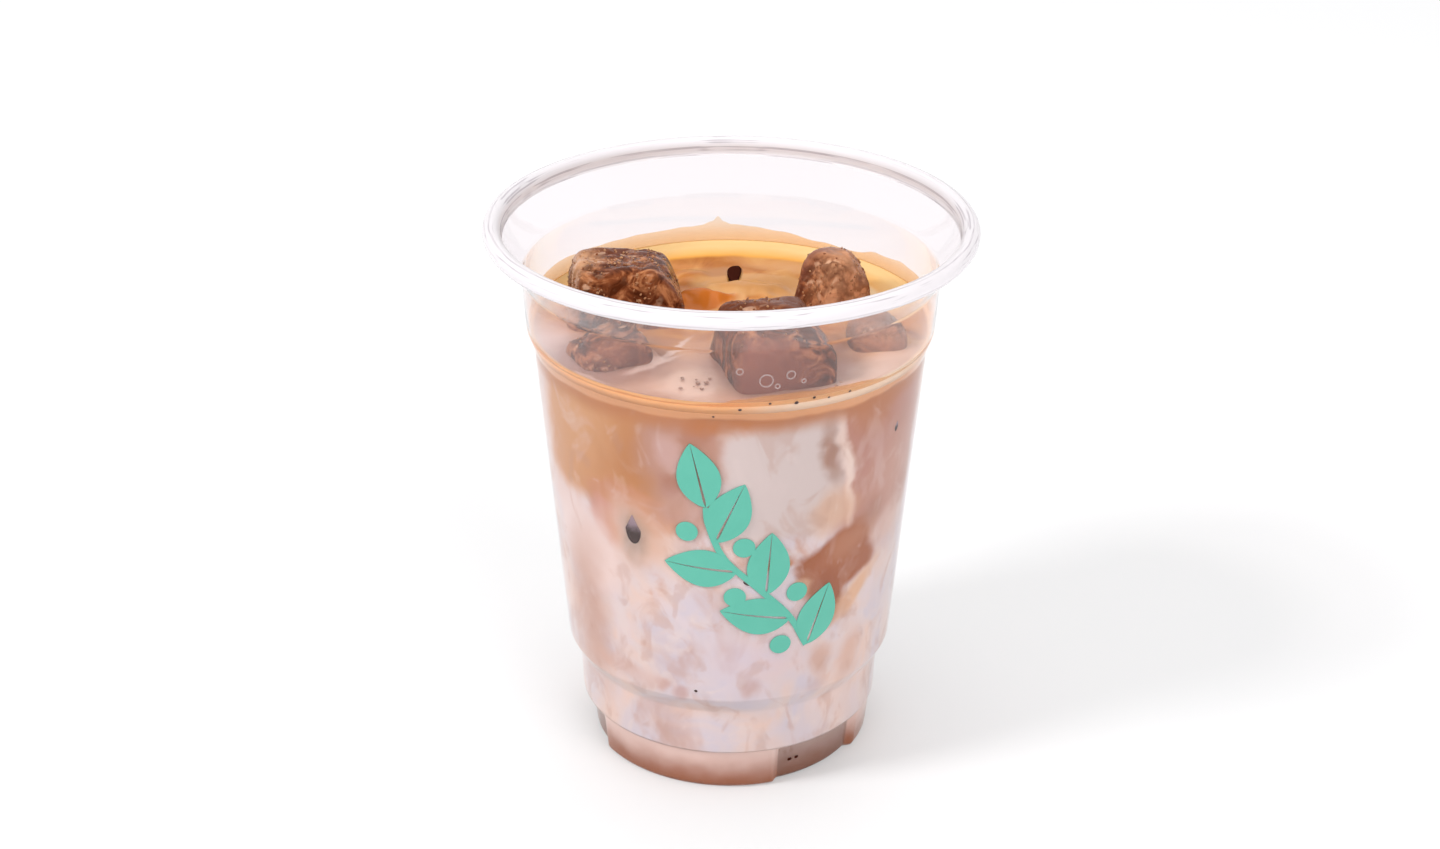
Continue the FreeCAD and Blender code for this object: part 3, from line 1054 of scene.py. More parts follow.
@dataclass(frozen=True)
class CoffeeIce:
    """Cloudy ice wet with coffee: dark brown where clear, tan at its worn edges and frost, with painted
    shade in the frost's creases and a painted highlight and shade on one piece.
    """

    dark: str = "#50230F"
    brown: str = "#83472A"
    tan: str = "#BD7C52"
    frost: str = "#E2B392"
    # painted shade in the creases between frost facets and on some facets
    crease: str = "#5A2E1C"
    wet: str = "#C88E64"
    roughness: float = 0.2
    patches: tuple[Patch, ...] = (
        Patch("#D9A277", -33.0, 8.0, 6.0, 11.0, softness=0.5, strength=0.9),
        Patch("#6E3A2A", -22.0, 12.0, 9.0, 4.0, 8.0, softness=0.6, strength=0.7),
        # painted highlight on the back-right piece
        Patch("#DFA27A", 23.0, 3.0, 6.5, 9.0, softness=0.6, strength=0.6),
        # painted shade at the back-right piece's top left
        Patch("#8A5444", 16.5, 12.0, 4.0, 4.0, softness=0.6, strength=0.6),
        Patch("#9C6150", 8.0, -37.0, 16.0, 5.5, softness=0.5, strength=0.9),
        Patch("#6E361C", 9.0, -14.0, 13.0, 8.0, softness=0.5, strength=0.75),
        Patch("#A8705C", -23.0, -28.0, 9.0, 5.0, 30.0, softness=0.6, strength=0.7),
        Patch("#B98468", 31.0, -14.0, 8.0, 8.0, softness=0.6, strength=0.6),
    )

    def make(self) -> Material:
        """Builds the material. It reads the mesh's attributes: "edge", "frost" and "grain"."""
        made, tree, shader, _ = new_material("coffee_ice", {
            "Roughness": self.roughness, "IOR": 1.31, "Specular IOR Level": 0.28,
            "Specular Tint": self.wet})
        spot = millimetres(tree)
        cloud, colour = clouds(tree, spot, {
            "Scale": 1 / 5, "Detail": 5.0, "Roughness": 0.6, "Distortion": 1.4},
            ((0.42, self.dark), (0.52, self.brown), (0.62, self.tan)))
        flat = flattened(tree, spot)
        for patch in self.patches:
            colour = patch.paint(tree, flat, colour)
        edge, frost, grain = (
            add_node(tree, "ShaderNodeAttribute", attribute_name=name).outputs["Fac"]
            for name in ("edge", "frost", "grain"))
        # Frost tone where the grain is high, then painted shade where it is low, in creases and on some
        # facets.
        for tone, start, full, strength in (
                (self.frost, 0.5, 0.85, 0.75), (self.crease, 0.34, 0.05, 0.6)):
            amount = add_node(tree, RANGE, {0: grain, 1: start, 2: full, 4: strength})
            share = add_node(tree, MATH, (amount, frost), operation="MULTIPLY")
            colour = laid_over(tree, colour, tone, share)
        colour = laid_over(tree, colour, self.tan, edge, 0.3, 1.0, 0.4)
        tree.links.new(colour, shader.inputs["Base Color"])
        bumped(tree, shader, cloud, 0.3)
        return made


@dataclass(frozen=True)
class MilkFilm:
    """Milky coffee left on the wall by a swirl of the cup: thin, pale orange, fading upwards."""

    colour: str = "#FFBE6C"
    pale: str = "#FFD39A"
    filtered: str = "#FFEBCF"
    low: float = 93.4
    high: float = 98.5
    roughness: float = 0.2
    low_cover: float = 0.26
    high_cover: float = 0.05
    stain: float = 0.75

    def make(self) -> Material:
        """Builds the material, which thins to clear towards the film's top edge."""
        made, tree, shader, output = new_material("milk_film", {"Roughness": self.roughness})
        spot = millimetres(tree)
        blotches = add_node(tree, NOISE, {"Vector": spot, "Scale": 1 / 4, "Detail": 2.0})
        tone = laid_over(tree, self.colour, self.pale, blotches)
        tree.links.new(tone, shader.inputs["Base Color"])
        height = add_node(tree, SPLIT, (spot,)).outputs["Z"]
        cover = add_node(tree, RANGE, {
            0: height, 1: self.low, 2: self.high, 3: self.low_cover, 4: self.high_cover},
            interpolation_type="SMOOTHSTEP")
        stain = laid_over(tree, self.filtered, "#FFFFFF", height, self.low, self.high + 2, self.stain)
        clear = add_node(tree, "ShaderNodeBsdfTransparent", {"Color": stain})
        mixed = add_node(tree, "ShaderNodeMixShader", (cover, clear, shader))
        tree.links.new(mixed.outputs[0], output.inputs["Surface"])
        return made


@dataclass(frozen=True)
class Mottled:
    """A finish of two tones that a fine noise parts."""

    name: str
    first: str
    second: str
    per_mm: float
    roughness: float
    detail: float = 2.0
    low: float = 0.0
    high: float = 1.0
    ior: float = 1.5
    cover: float = 1.0

    def make(self) -> Material:
        """Builds the material."""
        made, tree, shader, _ = new_material(self.name, {
            "Roughness": self.roughness, "IOR": self.ior, "Alpha": self.cover})
        mottle = add_node(tree, NOISE, {
            "Vector": millimetres(tree), "Scale": self.per_mm, "Detail": self.detail})
        tone = laid_over(tree, self.first, self.second, mottle, self.low, self.high)
        tree.links.new(tone, shader.inputs["Base Color"])
        return made


# Screen-printed UV ink: flat mint green, satin, with the fine mottle of the mesh that it went through.
PRINT_INK = Mottled("mint_print_ink", "#52AC97", "#5CB5A0", 0.2, 0.42, detail=3.0)
# Crushed frost frozen to the ice and stained by coffee: light brown grains that glint.
STAINED_FROST = Mottled(
    "stained_frost", "#8A5436", "#C8966E", 0.45, 0.25, detail=3.0, low=0.38, high=0.66, ior=1.31)
# The rims of bubbles on the wall, see-through, their lilac-white a painted highlight.
BUBBLE_RIM_HIGHLIGHT = Mottled("bubble_rim_highlight", "#F4E2E0", "#E9CFC6", 0.3, 0.15, cover=0.38)


@dataclass(frozen=True)
class AirPocketFinish:
    """The hollow core of an ice cube at the wall: dark below, painted shade of the hollow, and lilac-grey
    above, a painted reflection of the sky.
    """

    # painted shade inside the hollow
    dark: str = "#3D1A12"
    # painted reflection of the sky at the hollow's top
    sky_reflection: str = "#A8929C"
    roughness: float = 0.4
    blotch: float = 0.35

    def make(self) -> Material:
        """Builds the material. It reads the "rise" attribute, 0 at a pocket's foot and 1 at its tip."""
        made, tree, shader, _ = new_material("ice_air_pocket", {
            "Roughness": self.roughness, "Specular IOR Level": 0.0})
        rise = add_node(tree, "ShaderNodeAttribute", attribute_name="rise")
        mottle = add_node(tree, NOISE, {"Vector": millimetres(tree), "Scale": 1.1, "Detail": 2.0})
        level = add_node(tree, MATH, (mottle, self.blotch, rise.outputs["Fac"]), operation="MULTIPLY_ADD")
        tone = laid_over(tree, self.dark, self.sky_reflection, level, 0.5, 1.0, smooth=True)
        tree.links.new(tone, shader.inputs["Base Color"])
        return made


@dataclass(frozen=True)
class BubbleFinish:
    """Foam bubbles: a thin tan skin with a wet glint and a darker well inside, lighter where seen at a
    glancing angle by a painted sheen.
    """

    skin: str = "#A57860"
    crown_sheen: str = "#E2BFA6"
    roughness: float = 0.12

    def make(self) -> Material:
        """Builds the material: tan where the skin faces the camera, and in patches a painted sheen,
        lighter, where it is seen at a glancing angle.
        """
        made, tree, shader, _ = new_material("foam_bubble_skin", {
            "Roughness": self.roughness, "IOR": 1.33})
        facing = add_node(tree, "ShaderNodeLayerWeight", {"Blend": 0.35})
        spots = add_node(tree, NOISE, {"Vector": millimetres(tree), "Scale": 0.5})
        share = add_node(tree, MATH, (facing.outputs["Facing"], spots), operation="MULTIPLY")
        # painted sheen that lightens the skin at glancing angles
        tone = laid_over(tree, self.skin, self.crown_sheen, share)
        tree.links.new(tone, shader.inputs["Base Color"])
        return made


# ---------------------------------------------------------------- pieces of the drink


@dataclass
class ClearCup:
    """The thermoformed cup: wall, shoulders, foot with three lugs, and curled lip."""

    shape: CupShape
    foot: FootShape
    finish: ClearPlastic = ClearPlastic()
    rolled: RolledLip = RolledLip()
    segments: int = 256

    def build(self) -> Object:
        """Builds the cup and returns it."""
        form = TurnedForm(self.foot, self.segments)
        sheet = self.finish.make()
        cup = form.turn("clear_cup", self.shape.section(), sheet)
        cup.data.materials.append(self.rolled.make())
        lip_start = (self.shape.corners[-1].height - self.shape.lip_radius + 0.2) * MM
        for face in cup.data.polygons:
            if face.center.z > lip_start:
                face.material_index = 1
        return settle(cup, ["cup"])


@dataclass
class Drink:
    """The latte's body, which reaches just into the wall so that no air gap shows."""

    shape: CupShape
    foot: FootShape
    level: float
    finish: Marbling = Marbling()
    into_wall: float = 0.25
    segments: int = 256

    def build(self) -> Object:
        """Builds the drink's body and returns it."""
        outline = self.shape.contents(self.level, self.into_wall)
        outline.append(Vector((0.0, self.level)))
        form = TurnedForm(self.foot, self.segments)
        return settle(form.turn("latte_body", outline, self.finish.make()), ["latte"])


@dataclass(frozen=True)
class Mound:
    """A rise or, with a negative height, a hollow in the crema's surface."""

    x: float
    y: float
    half_length: float
    half_width: float
    turn: float
    height: float


@dataclass
class Crema:
    """The crema: a thin layer with a wavy top that climbs the wall and covers sunken ice."""

    shape: CupShape
    low: float
    level: float
    finish: CremaFinish = CremaFinish()
    rings: int = 84
    segments: int = 256
    into_wall: float = 0.25
    climb: float = 0.9
    ripple: float = 0.35
    mounds: tuple[Mound, ...] = (
        Mound(-6.5, 9.0, 9.5, 4.6, 12.0, 2.6),
        Mound(3.0, 15.5, 10.0, 5.0, -8.0, 1.1),
        Mound(-9.0, 22.0, 6.0, 4.0, 25.0, 0.9),
        Mound(-16.0, -19.0, 3.4, 3.0, 20.0, 2.0),
        Mound(0.6, 21.0, 3.6, 1.0, 78.0, -3.2),
    )

    def top_at(self, x: float, y: float, edge: float) -> float:
        """Returns the surface's height at a spot.

        Args:
            x: to the right, in millimetres.
            y: to the back.
            edge: distance to the wall.

        Returns:
            The height in millimetres.
        """
        rise = self.climb * math.exp(-max(edge, 0.0) / 1.1)
        calm = smooth_step(0.0, 3.0, edge)
        wave = noise.noise(Vector((x / 9, y / 9, 3.0)))
        wave += 0.4 * noise.noise(Vector((x / 3.5, y / 3.5, 8.0)))
        height = self.level + rise + wave * self.ripple * calm
        for mound in self.mounds:
            away = Matrix.Rotation(-math.radians(mound.turn), 2) @ Vector((x - mound.x, y - mound.y))
            reach = math.hypot(away.x / mound.half_length, away.y / mound.half_width)
            reach += 0.25 * noise.noise(Vector((x / 3, y / 3, 1.0)))
            height += mound.height * (1 - smooth_step(0.15, 1.0, reach)) * calm
        return height

    def build(self) -> Object:
        """Builds the crema as a closed mesh and returns it."""
        edge_radius = self.shape.radius_at(self.level, self.shape.wall - self.into_wall)
        work = bmesh.new()
        low_radius = self.shape.radius_at(self.low, self.shape.wall - self.into_wall)
        rows = [[work.verts.new((0.0, 0.0, self.top_at(0, 0, edge_radius) * MM))]]
        for ring in range(1, self.rings + 1):
            radius = edge_radius * (1 - (1 - ring / self.rings) ** 1.15)
            spots = [cup_point(math.tau * k / self.segments, radius, 0.0) for k in range(self.segments)]
            away = edge_radius - radius
            rows.append([work.verts.new((p.x, p.y, self.top_at(p.x / MM, p.y / MM, away) * MM))
                         for p in spots])
        for radius in (low_radius, low_radius * 0.5):
            rows.append([work.verts.new(cup_point(math.tau * k / self.segments, radius, self.low))
                         for k in range(self.segments)])
        rows.append([work.verts.new((0.0, 0.0, self.low * MM))])
        skin(work, rows)
        return settle(closed_piece(work, "crema_surface", self.finish.make()), ["crema"])


@dataclass
class WallFilm:
    """The thin milky film that a swirl of the drink left on the inside of the wall."""

    shape: CupShape
    level: float
    finish: MilkFilm = MilkFilm()
    thickness: float = 0.08
    into_wall: float = 0.04
    dip: float = 0.6
    columns: int = 600
    steps_up: int = 14
    tops: tuple[Point, ...] = (
        (-180, 97.3), (-177.6, 98.0), (-176, 99.2), (-174.2, 98.0), (-171, 97.3), (-167, 97.0),
        (-158, 96.8),
        (-145, 96.6), (-130, 96.8), (-118, 97.0), (-104, 96.2), (-86, 94.6), (-66, 94.2), (-57, 93.4),
        (-45, 93.1), (-26, 93.3), (-14, 93.1), (-4, 93.5), (2, 94.4), (10, 95.0), (18, 95.4), (27, 94.9),
        (36, 94.6), (48, 93.4), (60, 93.2), (72, 94.0), (90, 95.4), (106, 96.6), (120, 97.0), (131, 96.4),
        (141, 95.0), (152, 95.2), (165, 96.2), (174, 96.9), (180, 97.3),
    )

    def top_at(self, bearing: float) -> float:
        """Returns the film's top height at a bearing."""
        for (a, low), (b, high) in zip(self.tops, self.tops[1:]):
            if a <= bearing <= b:
                return low + (high - low) * smooth_step(0.0, 1.0, (bearing - a) / (b - a))
        return self.level

    def build(self) -> Object:
        """Builds the film as a closed thin ring and returns it."""
        work = bmesh.new()
        low = self.level - self.dip
        outer, inner = self.shape.wall - self.into_wall, self.shape.wall + self.thickness
        loops = []
        for i in range(self.columns):
            bearing = -180 + 360 * i / self.columns
            turn = math.radians(bearing)
            wave = 0.25 * noise.noise(Vector((math.cos(turn) * 9, math.sin(turn) * 9, 2.0)))
            rise = self.top_at(bearing) + wave - low
            heights = [low + rise * j / self.steps_up for j in range(self.steps_up + 1)]
            section = [(outer, height) for height in heights]
            section += [(inner, height) for height in heights[::-1]]
            loops.append([work.verts.new(cup_point(turn, self.shape.radius_at(height, depth), height))
                          for depth, height in section])
        skin(work, loops + loops[:1])
        return settle(closed_piece(work, "milk_film", self.finish.make()))


@dataclass(frozen=True)
class Slope:
    """A side of an ice piece's top that melted down: from where along X, over how far, how much."""

    node: str
    start: float
    run: float
    drop: float


@dataclass
class IcePieces:
    """The five ice pieces that stand out of the drink, worn and pitted."""

    names: tuple[str, ...]
    finish: CoffeeIce = CoffeeIce()
    weld: float = 5e-6
    voxel: float = 0.55
    rounds: int = 70
    lumps: float = 0.9
    pitting: float = 0.9
    crystal: float = 2.4
    glassy: tuple[str, ...] = ("ice_front_centre", "ice_front_right")
    slopes: tuple[Slope, ...] = (
        Slope("ice_back_left", -16.0, 9.0, 6.5),
        Slope("ice_back_left", -30.0, -8.0, 4.5),
        Slope("ice_back_right", 23.5, 7.0, 4.0),
        Slope("ice_back_right", 17.5, -7.0, 3.5),
        Slope("ice_front_centre", 12.0, 10.0, 3.0),
        Slope("ice_front_left", -26.0, -6.0, 2.5),
    )

    def build(self) -> list[Object]:
        """Builds every piece and returns them."""
        material = self.finish.make()
        return [self._piece(name, material, seed) for seed, name in enumerate(self.names)]

    def _piece(self, node: str, material: Material, seed: int) -> Object:
        """Builds one piece from a copy of its CAD node.

        Args:
            node: the CAD node's name.
            material: its material.
            seed: shifts the noise, so that no two pieces wear alike.

        Returns:
            The finished piece.
        """
        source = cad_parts[node]
        work = bmesh.new()
        work.from_mesh(source.data)
        bmesh.ops.remove_doubles(work, verts=work.verts, dist=self.weld)
        data = mesh_of(work, node + "_worn")
        data.materials.clear()
        piece = scene_object(node + "_worn", data)
        remesh = piece.modifiers.new("remesh", "REMESH")
        remesh.mode = "VOXEL"
        remesh.voxel_size = self.voxel * MM
        melt = piece.modifiers.new("melt", "SMOOTH")
        melt.factor = 0.5
        melt.iterations = self.rounds
        evaluated = piece.evaluated_get(bpy.context.evaluated_depsgraph_get())
        fine = bpy.data.meshes.new_from_object(evaluated)
        piece.modifiers.clear()
        piece.data = fine
        bpy.data.meshes.remove(data)
        fine.name = node + "_worn"
        self._melt(fine, node)
        self._weather(fine, seed, node in self.glassy)
        fine.materials.clear()
        fine.materials.append(material)
        fine.shade_smooth()
        return settle(piece, [node])

    def _melt(self, data: Mesh, node: str) -> None:
        """Lowers the melted sides of a piece's top."""
        top = max(vert.co.z for vert in data.vertices)
        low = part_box("crema")[1].z
        for slope in (s for s in self.slopes if s.node == node):
            for vert in data.vertices:
                along = (vert.co.x / MM - slope.start) / slope.run
                share = smooth_step(0.0, 1.0, along) * smooth_step(low - 0.002, top, vert.co.z)
                vert.co.z -= slope.drop * share * MM

    def _weather(self, data: Mesh, seed: int, glassy: bool) -> None:
        """Rounds and pits a mesh inwards and writes its "edge", "frost" and "grain" attributes.

        Args:
            data: the piece's mesh.
            seed: shifts the noise.
            glassy: whether its sides are clear ice, with frost on top alone.
        """
        work = bmesh.new()
        work.from_mesh(data)
        work.verts.ensure_lookup_table()
        near = [[e.other_vert(v).index for e in v.link_edges] for v in work.verts]
        places = [v.co.copy() for v in work.verts]
        for _ in range(6):
            places = [(places[i] + sum((places[j] for j in ring), Vector()) / len(ring)) / 2
                      for i, ring in enumerate(near)]
        frost, grain = [], []
        sharp = [(work.verts[i].co - places[i]).length / MM for i in range(len(near))]
        for _ in range(5):
            sharp = [(sharp[i] + sum(sharp[j] for j in ring) / len(ring)) / 2
                     for i, ring in enumerate(near)]
        shift = Vector((seed * 17.0, 5.0, 9.0))
        for vert, place, edge in zip(work.verts, places, sharp):
            spot = place / MM + shift
            broad = noise.noise(spot / 5.5)
            reach, cells = noise.voronoi(spot / self.crystal + Vector((broad, 0.6 * broad, 1.4 * broad)))
            crease = 1 - smooth_step(0.0, 0.35, reach[1] - reach[0])
            facet = 0.5 + 0.9 * noise.noise(cells[0] * 3.7)
            rough = abs(noise.noise(spot / 0.9))
            clear = glassy * (1 - smooth_step(0.2, 0.6, vert.normal.z))
            patchy = noise.noise(spot / 7.0 + Vector((3.0, 1.0, 4.0)))
            frosty = (1 - clear) * smooth_step(-0.3, 0.2, patchy)
            depth = self.lumps * (0.5 + 0.5 * broad)
            depth += self.pitting * (0.2 * crease + 0.75 * facet + 0.3 * rough) * frosty
            vert.co = place - vert.normal * depth * MM
            frost.append(frosty)
            grain.append(min(1.0, max(0.0, facet * (1 - 0.7 * crease) + 0.4 * (rough - 0.25))))
        work.to_mesh(data)
        work.free()
        worn = [smooth_step(0.02, 0.16, e) for e in sharp]
        for title, values in (("edge", worn), ("frost", frost), ("grain", grain)):
            data.attributes.new(title, "FLOAT", "POINT").data.foreach_set("value", values)


@dataclass
class Scatter:
    """Small shapes that Geometry Nodes scatter over the faces of another mesh."""

    finish: Mottled | BubbleFinish
    size: float
    per_square_cm: float
    seed: int

    def density(self, tree: Tree, even: Any) -> Any:
        """Returns how densely the shapes lie, from their even density."""
        return even

    def shape(self, tree: Tree, size: Any) -> dict:
        """Adds one shape and returns the inputs that set it on its points."""
        raise NotImplementedError

    def scatter(self, work: Work, name: str) -> Object:
        """Scatters the shapes.

        Args:
            work: the mesh in work that carries them. It is used up.
            name: the new object's name.

        Returns:
            One object with all of the shapes.
        """
        tree, given = new_tree(name + "_scatter", [
            ("Density", "NodeSocketFloat"), ("Size", "NodeSocketFloat"), ("Seed", "NodeSocketInt"),
            ("Material", "NodeSocketMaterial")])
        points = add_node(tree, "GeometryNodeDistributePointsOnFaces", {
            "Mesh": given, "Density": self.density(tree, given.outputs["Density"]),
            "Seed": given.outputs["Seed"]})
        placed = add_node(tree, "GeometryNodeInstanceOnPoints", {
            "Points": points, **self.shape(tree, given.outputs["Size"])})
        end_tree(tree, placed, given.outputs["Material"])
        values = {"Density": self.per_square_cm * 1e4, "Size": self.size * MM, "Seed": self.seed,
                  "Material": self.finish.make()}
        carrier = scene_object(name + "_carrier", mesh_of(work, name + "_carrier"))
        return applied(carrier, tree, values, name)


@dataclass
class FrostCrystals(Scatter):
    """Crushed frost grains frozen to the ice pieces where their "frost" attribute is high."""

    finish: Mottled = STAINED_FROST
    size: float = 0.34
    per_square_cm: float = 34.0
    seed: int = 11

    def density(self, tree: Tree, even: Any) -> Any:
        """Returns the even density times the "frost" attribute."""
        frost = add_node(tree, "GeometryNodeInputNamedAttribute", {"Name": "frost"}, data_type="FLOAT")
        return add_node(tree, MATH, (frost, even), operation="MULTIPLY")

    def shape(self, tree: Tree, size: Any) -> dict:
        """Adds a grain, turned and stretched at random."""
        grain = add_node(tree, "GeometryNodeMeshIcoSphere", {"Radius": size, "Subdivisions": 1})
        turn = add_node(tree, "FunctionNodeRandomValue", {
            "Min": (0.0, 0.0, 0.0), "Max": (math.tau,) * 3, "Seed": 3}, data_type="FLOAT_VECTOR")
        stretch = add_node(tree, "FunctionNodeRandomValue", {
            "Min": (0.35, 0.35, 0.35), "Max": (1.5, 1.1, 0.9), "Seed": 5}, data_type="FLOAT_VECTOR")
        return {"Instance": grain, "Rotation": turn, "Scale": stretch}

    def build(self, ice: Sequence[Object]) -> Object:
        """Builds the grains on these pieces and returns them as one piece."""
        work = bmesh.new()
        for piece in ice:
            work.from_mesh(piece.data)
        return settle(self.scatter(work, "frost_grains"))


@dataclass(frozen=True)
class BubblePatch:
    """A round patch of foam that bubbles gather in."""

    x: float
    y: float
    radius: float
    height: float


@dataclass
class FoamBubbles(Scatter):
    """Small bubbles in the milky foam by the front wall, scattered over round patches."""

    finish: BubbleFinish = BubbleFinish()
    size: float = 0.42
    per_square_cm: float = 20.0
    seed: int = 4
    patches: tuple[BubblePatch, ...] = (
        BubblePatch(-7.0, -30.5, 4.2, 0.25),
        BubblePatch(4.5, -37.6, 1.7, 1.0),
        BubblePatch(13.5, -35.6, 1.7, 0.9),
        BubblePatch(20.5, -32.0, 1.9, 0.9),
        BubblePatch(-24.0, 12.0, 5.0, 0.15),
        BubblePatch(31.0, 9.0, 3.5, 0.2),
    )

    def shape(self, tree: Tree, size: Any) -> dict:
        """Adds a flattened bubble of a random size."""
        dome = add_node(tree, "GeometryNodeMeshUVSphere", {"Radius": size, "Segments": 8, "Rings": 5})
        flat = add_node(tree, "GeometryNodeTransform", {"Geometry": dome, "Scale": (1.0, 1.0, 0.45)})
        smooth = add_node(tree, "GeometryNodeSetShadeSmooth", {"Geometry": flat})
        scale = add_node(tree, "FunctionNodeRandomValue", {2: 0.3, 3: 1.3, "Seed": 8}, data_type="FLOAT")
        return {"Instance": smooth, "Scale": scale.outputs[1]}

    def build(self, level: float) -> Object:
        """Builds the bubbles just over the crema's level and returns them as one piece."""
        work = bmesh.new()
        for patch in self.patches:
            place = Matrix.Translation(Vector((patch.x, patch.y, level + patch.height)) * MM)
            bmesh.ops.create_circle(work, cap_ends=True, segments=16, radius=patch.radius * MM,
                                    matrix=place)
        return settle(self.scatter(work, "foam_bubbles"))


@dataclass(frozen=True)
class Pocket:
    """One air pocket behind the wall: where it lies, its size and how pointed its top is."""

    bearing: float
    height: float
    half_width: float
    half_height: float
    point: float = 0.0
    lean: float = 0.0


@dataclass
class AirPockets:
    """Air pockets and small specks that show dark through the wall, their darkness painted shade in
    hollows.
    """

    shape: CupShape
    finish: AirPocketFinish = AirPocketFinish()
    depth: float = 0.2
    bulge: float = 0.12
    rings: int = 7
    segments: int = 28
    pockets: tuple[Pocket, ...] = (
        Pocket(-30.3, 62.2, 1.75, 3.3, point=0.75),
        Pocket(7.2, 53.2, 1.8, 1.2, point=0.1, lean=12.0),
        Pocket(57.5, 79.4, 0.6, 1.1, point=0.4, lean=-10.0),
        Pocket(25.0, 5.6, 0.5, 0.4),
        Pocket(28.0, 5.7, 0.45, 0.4),
        Pocket(-11.0, 26.0, 0.35, 0.3),
        Pocket(17.7, 93.0, 0.42, 0.34),
        Pocket(2.6, 92.2, 0.34, 0.28),
        Pocket(10.5, 93.4, 0.26, 0.22),
        Pocket(22.6, 93.6, 0.3, 0.26),
        Pocket(27.0, 93.0, 0.24, 0.2),
        Pocket(-4.5, 90.4, 0.24, 0.2),
        Pocket(33.5, 93.2, 0.26, 0.22),
        Pocket(-104.0, 60.0, 1.5, 2.4, point=0.6),
        Pocket(122.0, 71.0, 1.3, 1.9, point=0.3, lean=20.0),
    )

    def build(self) -> Object:
        """Builds every pocket as a closed lens in one piece and returns it."""
        work = bmesh.new()
        for pocket in self.pockets:
            add_lens(work, self.rings, self.segments, partial(self._place, pocket))
        return settle(closed_piece(work, "air_pockets", self.finish.make()))

    def _place(self, pocket: Pocket, angle: float, share: float, swell: float) -> tuple[Vector, float]:
        """Returns a point of a pocket's lens and how high in the pocket it is.

        Args:
            pocket: the pocket.
            angle: the point's angle round it.
            share: how far out it is, from 0 to 1.
            swell: how far the dome swells there, from -1 to 1.

        Returns:
            The point in metres, and its rise.
        """
        across, up = math.cos(angle) * share, math.sin(angle) * share
        across *= 1 - pocket.point * max(up, 0.0) ** 0.8
        flat = Matrix.Rotation(math.radians(pocket.lean), 2) @ Vector((
            across * pocket.half_width, up * pocket.half_height))
        height = pocket.height + flat.y
        radius = self.shape.radius_at(height, self.depth) + self.bulge * swell
        turn = math.radians(pocket.bearing) + flat.x / radius
        return cup_point(turn, radius, height), 0.5 + 0.5 * up if pocket.half_height > 1 else 0.0


@dataclass
class BubbleRings:
    """The rims of the bubbles that cling to the inside of the wall, above the crema."""

    shape: CupShape
    # lilac-white rims: a painted highlight
    finish: Mottled = BUBBLE_RIM_HIGHLIGHT
    width: float = 0.3
    around: int = 24
    rings: tuple[tuple[float, float, float], ...] = (
        (9.4, 98.2, 1.25), (15.9, 99.0, 0.8), (2.4, 100.3, 0.6), (12.4, 96.9, 0.45), (19.5, 97.4, 0.4),
    )

    def build(self) -> Object:
        """Builds every rim as a closed ring of a square section in one piece and returns it."""
        work = bmesh.new()
        for bearing, height, radius in self.rings:
            loops = [self._section(work, bearing, height, radius, math.tau * k / self.around)
                     for k in range(self.around)]
            skin(work, loops + loops[:1])
        return settle(closed_piece(work, "bubble_rings", self.finish.make()))

    def _section(self, work: Work, bearing: float, height: float, radius: float,
                 angle: float) -> list[Vert]:
        """Adds the four corners of a ring's section.

        Args:
            work: the mesh that they are added to.
            bearing: the bubble's bearing in degrees.
            height: its centre's height.
            radius: its rim's radius.
            angle: how far round the rim the section lies.

        Returns:
            The corners in order.
        """
        corners = []
        for side, depth in ((1, -0.05), (1, 0.06), (-1, 0.06), (-1, -0.05)):
            reach = radius + side * self.width / 2
            up = height + reach * math.sin(angle)
            wall = self.shape.radius_at(up, self.shape.wall + depth)
            turn = math.radians(bearing) + reach * math.cos(angle) / wall
            corners.append(work.verts.new(cup_point(turn, wall, up)))
        return corners


@dataclass
class SurfaceWell:
    """The mouth of a melted hollow in a sunken ice piece, level with the crema, dark with painted shade.
    """

    level: float
    finish: AirPocketFinish = AirPocketFinish()
    x: float = 0.6
    y: float = 22.0
    half_width: float = 1.35
    half_length: float = 5.2
    bend: float = 0.5
    lift: float = 0.3
    rise: float = 0.35
    # keeps the mouth at the dark, painted-shade end of the pocket finish
    depth: float = 0.1
    rings: int = 6
    segments: int = 32

    def build(self) -> Object:
        """Builds the mouth as a closed shallow lens and returns it."""
        work = bmesh.new()
        add_lens(work, self.rings, self.segments, self._place)
        return settle(closed_piece(work, "surface_well", self.finish.make()))

    def _place(self, angle: float, share: float, swell: float) -> tuple[Vector, float]:
        """Returns a point of the lens in metres, and its rise, as add_lens wants them."""
        along = math.sin(angle) * share
        across = math.cos(angle) * share * (1 + self.bend * along) + 0.4 * along * along
        ragged = 1 + 0.18 * noise.noise(Vector((math.cos(angle) * 2, math.sin(angle) * 2, 5.0)))
        spot = Vector((self.x + across * self.half_width * ragged,
                       self.y + along * self.half_length * ragged,
                       self.level + self.lift + self.rise * swell))
        return spot * MM, self.depth


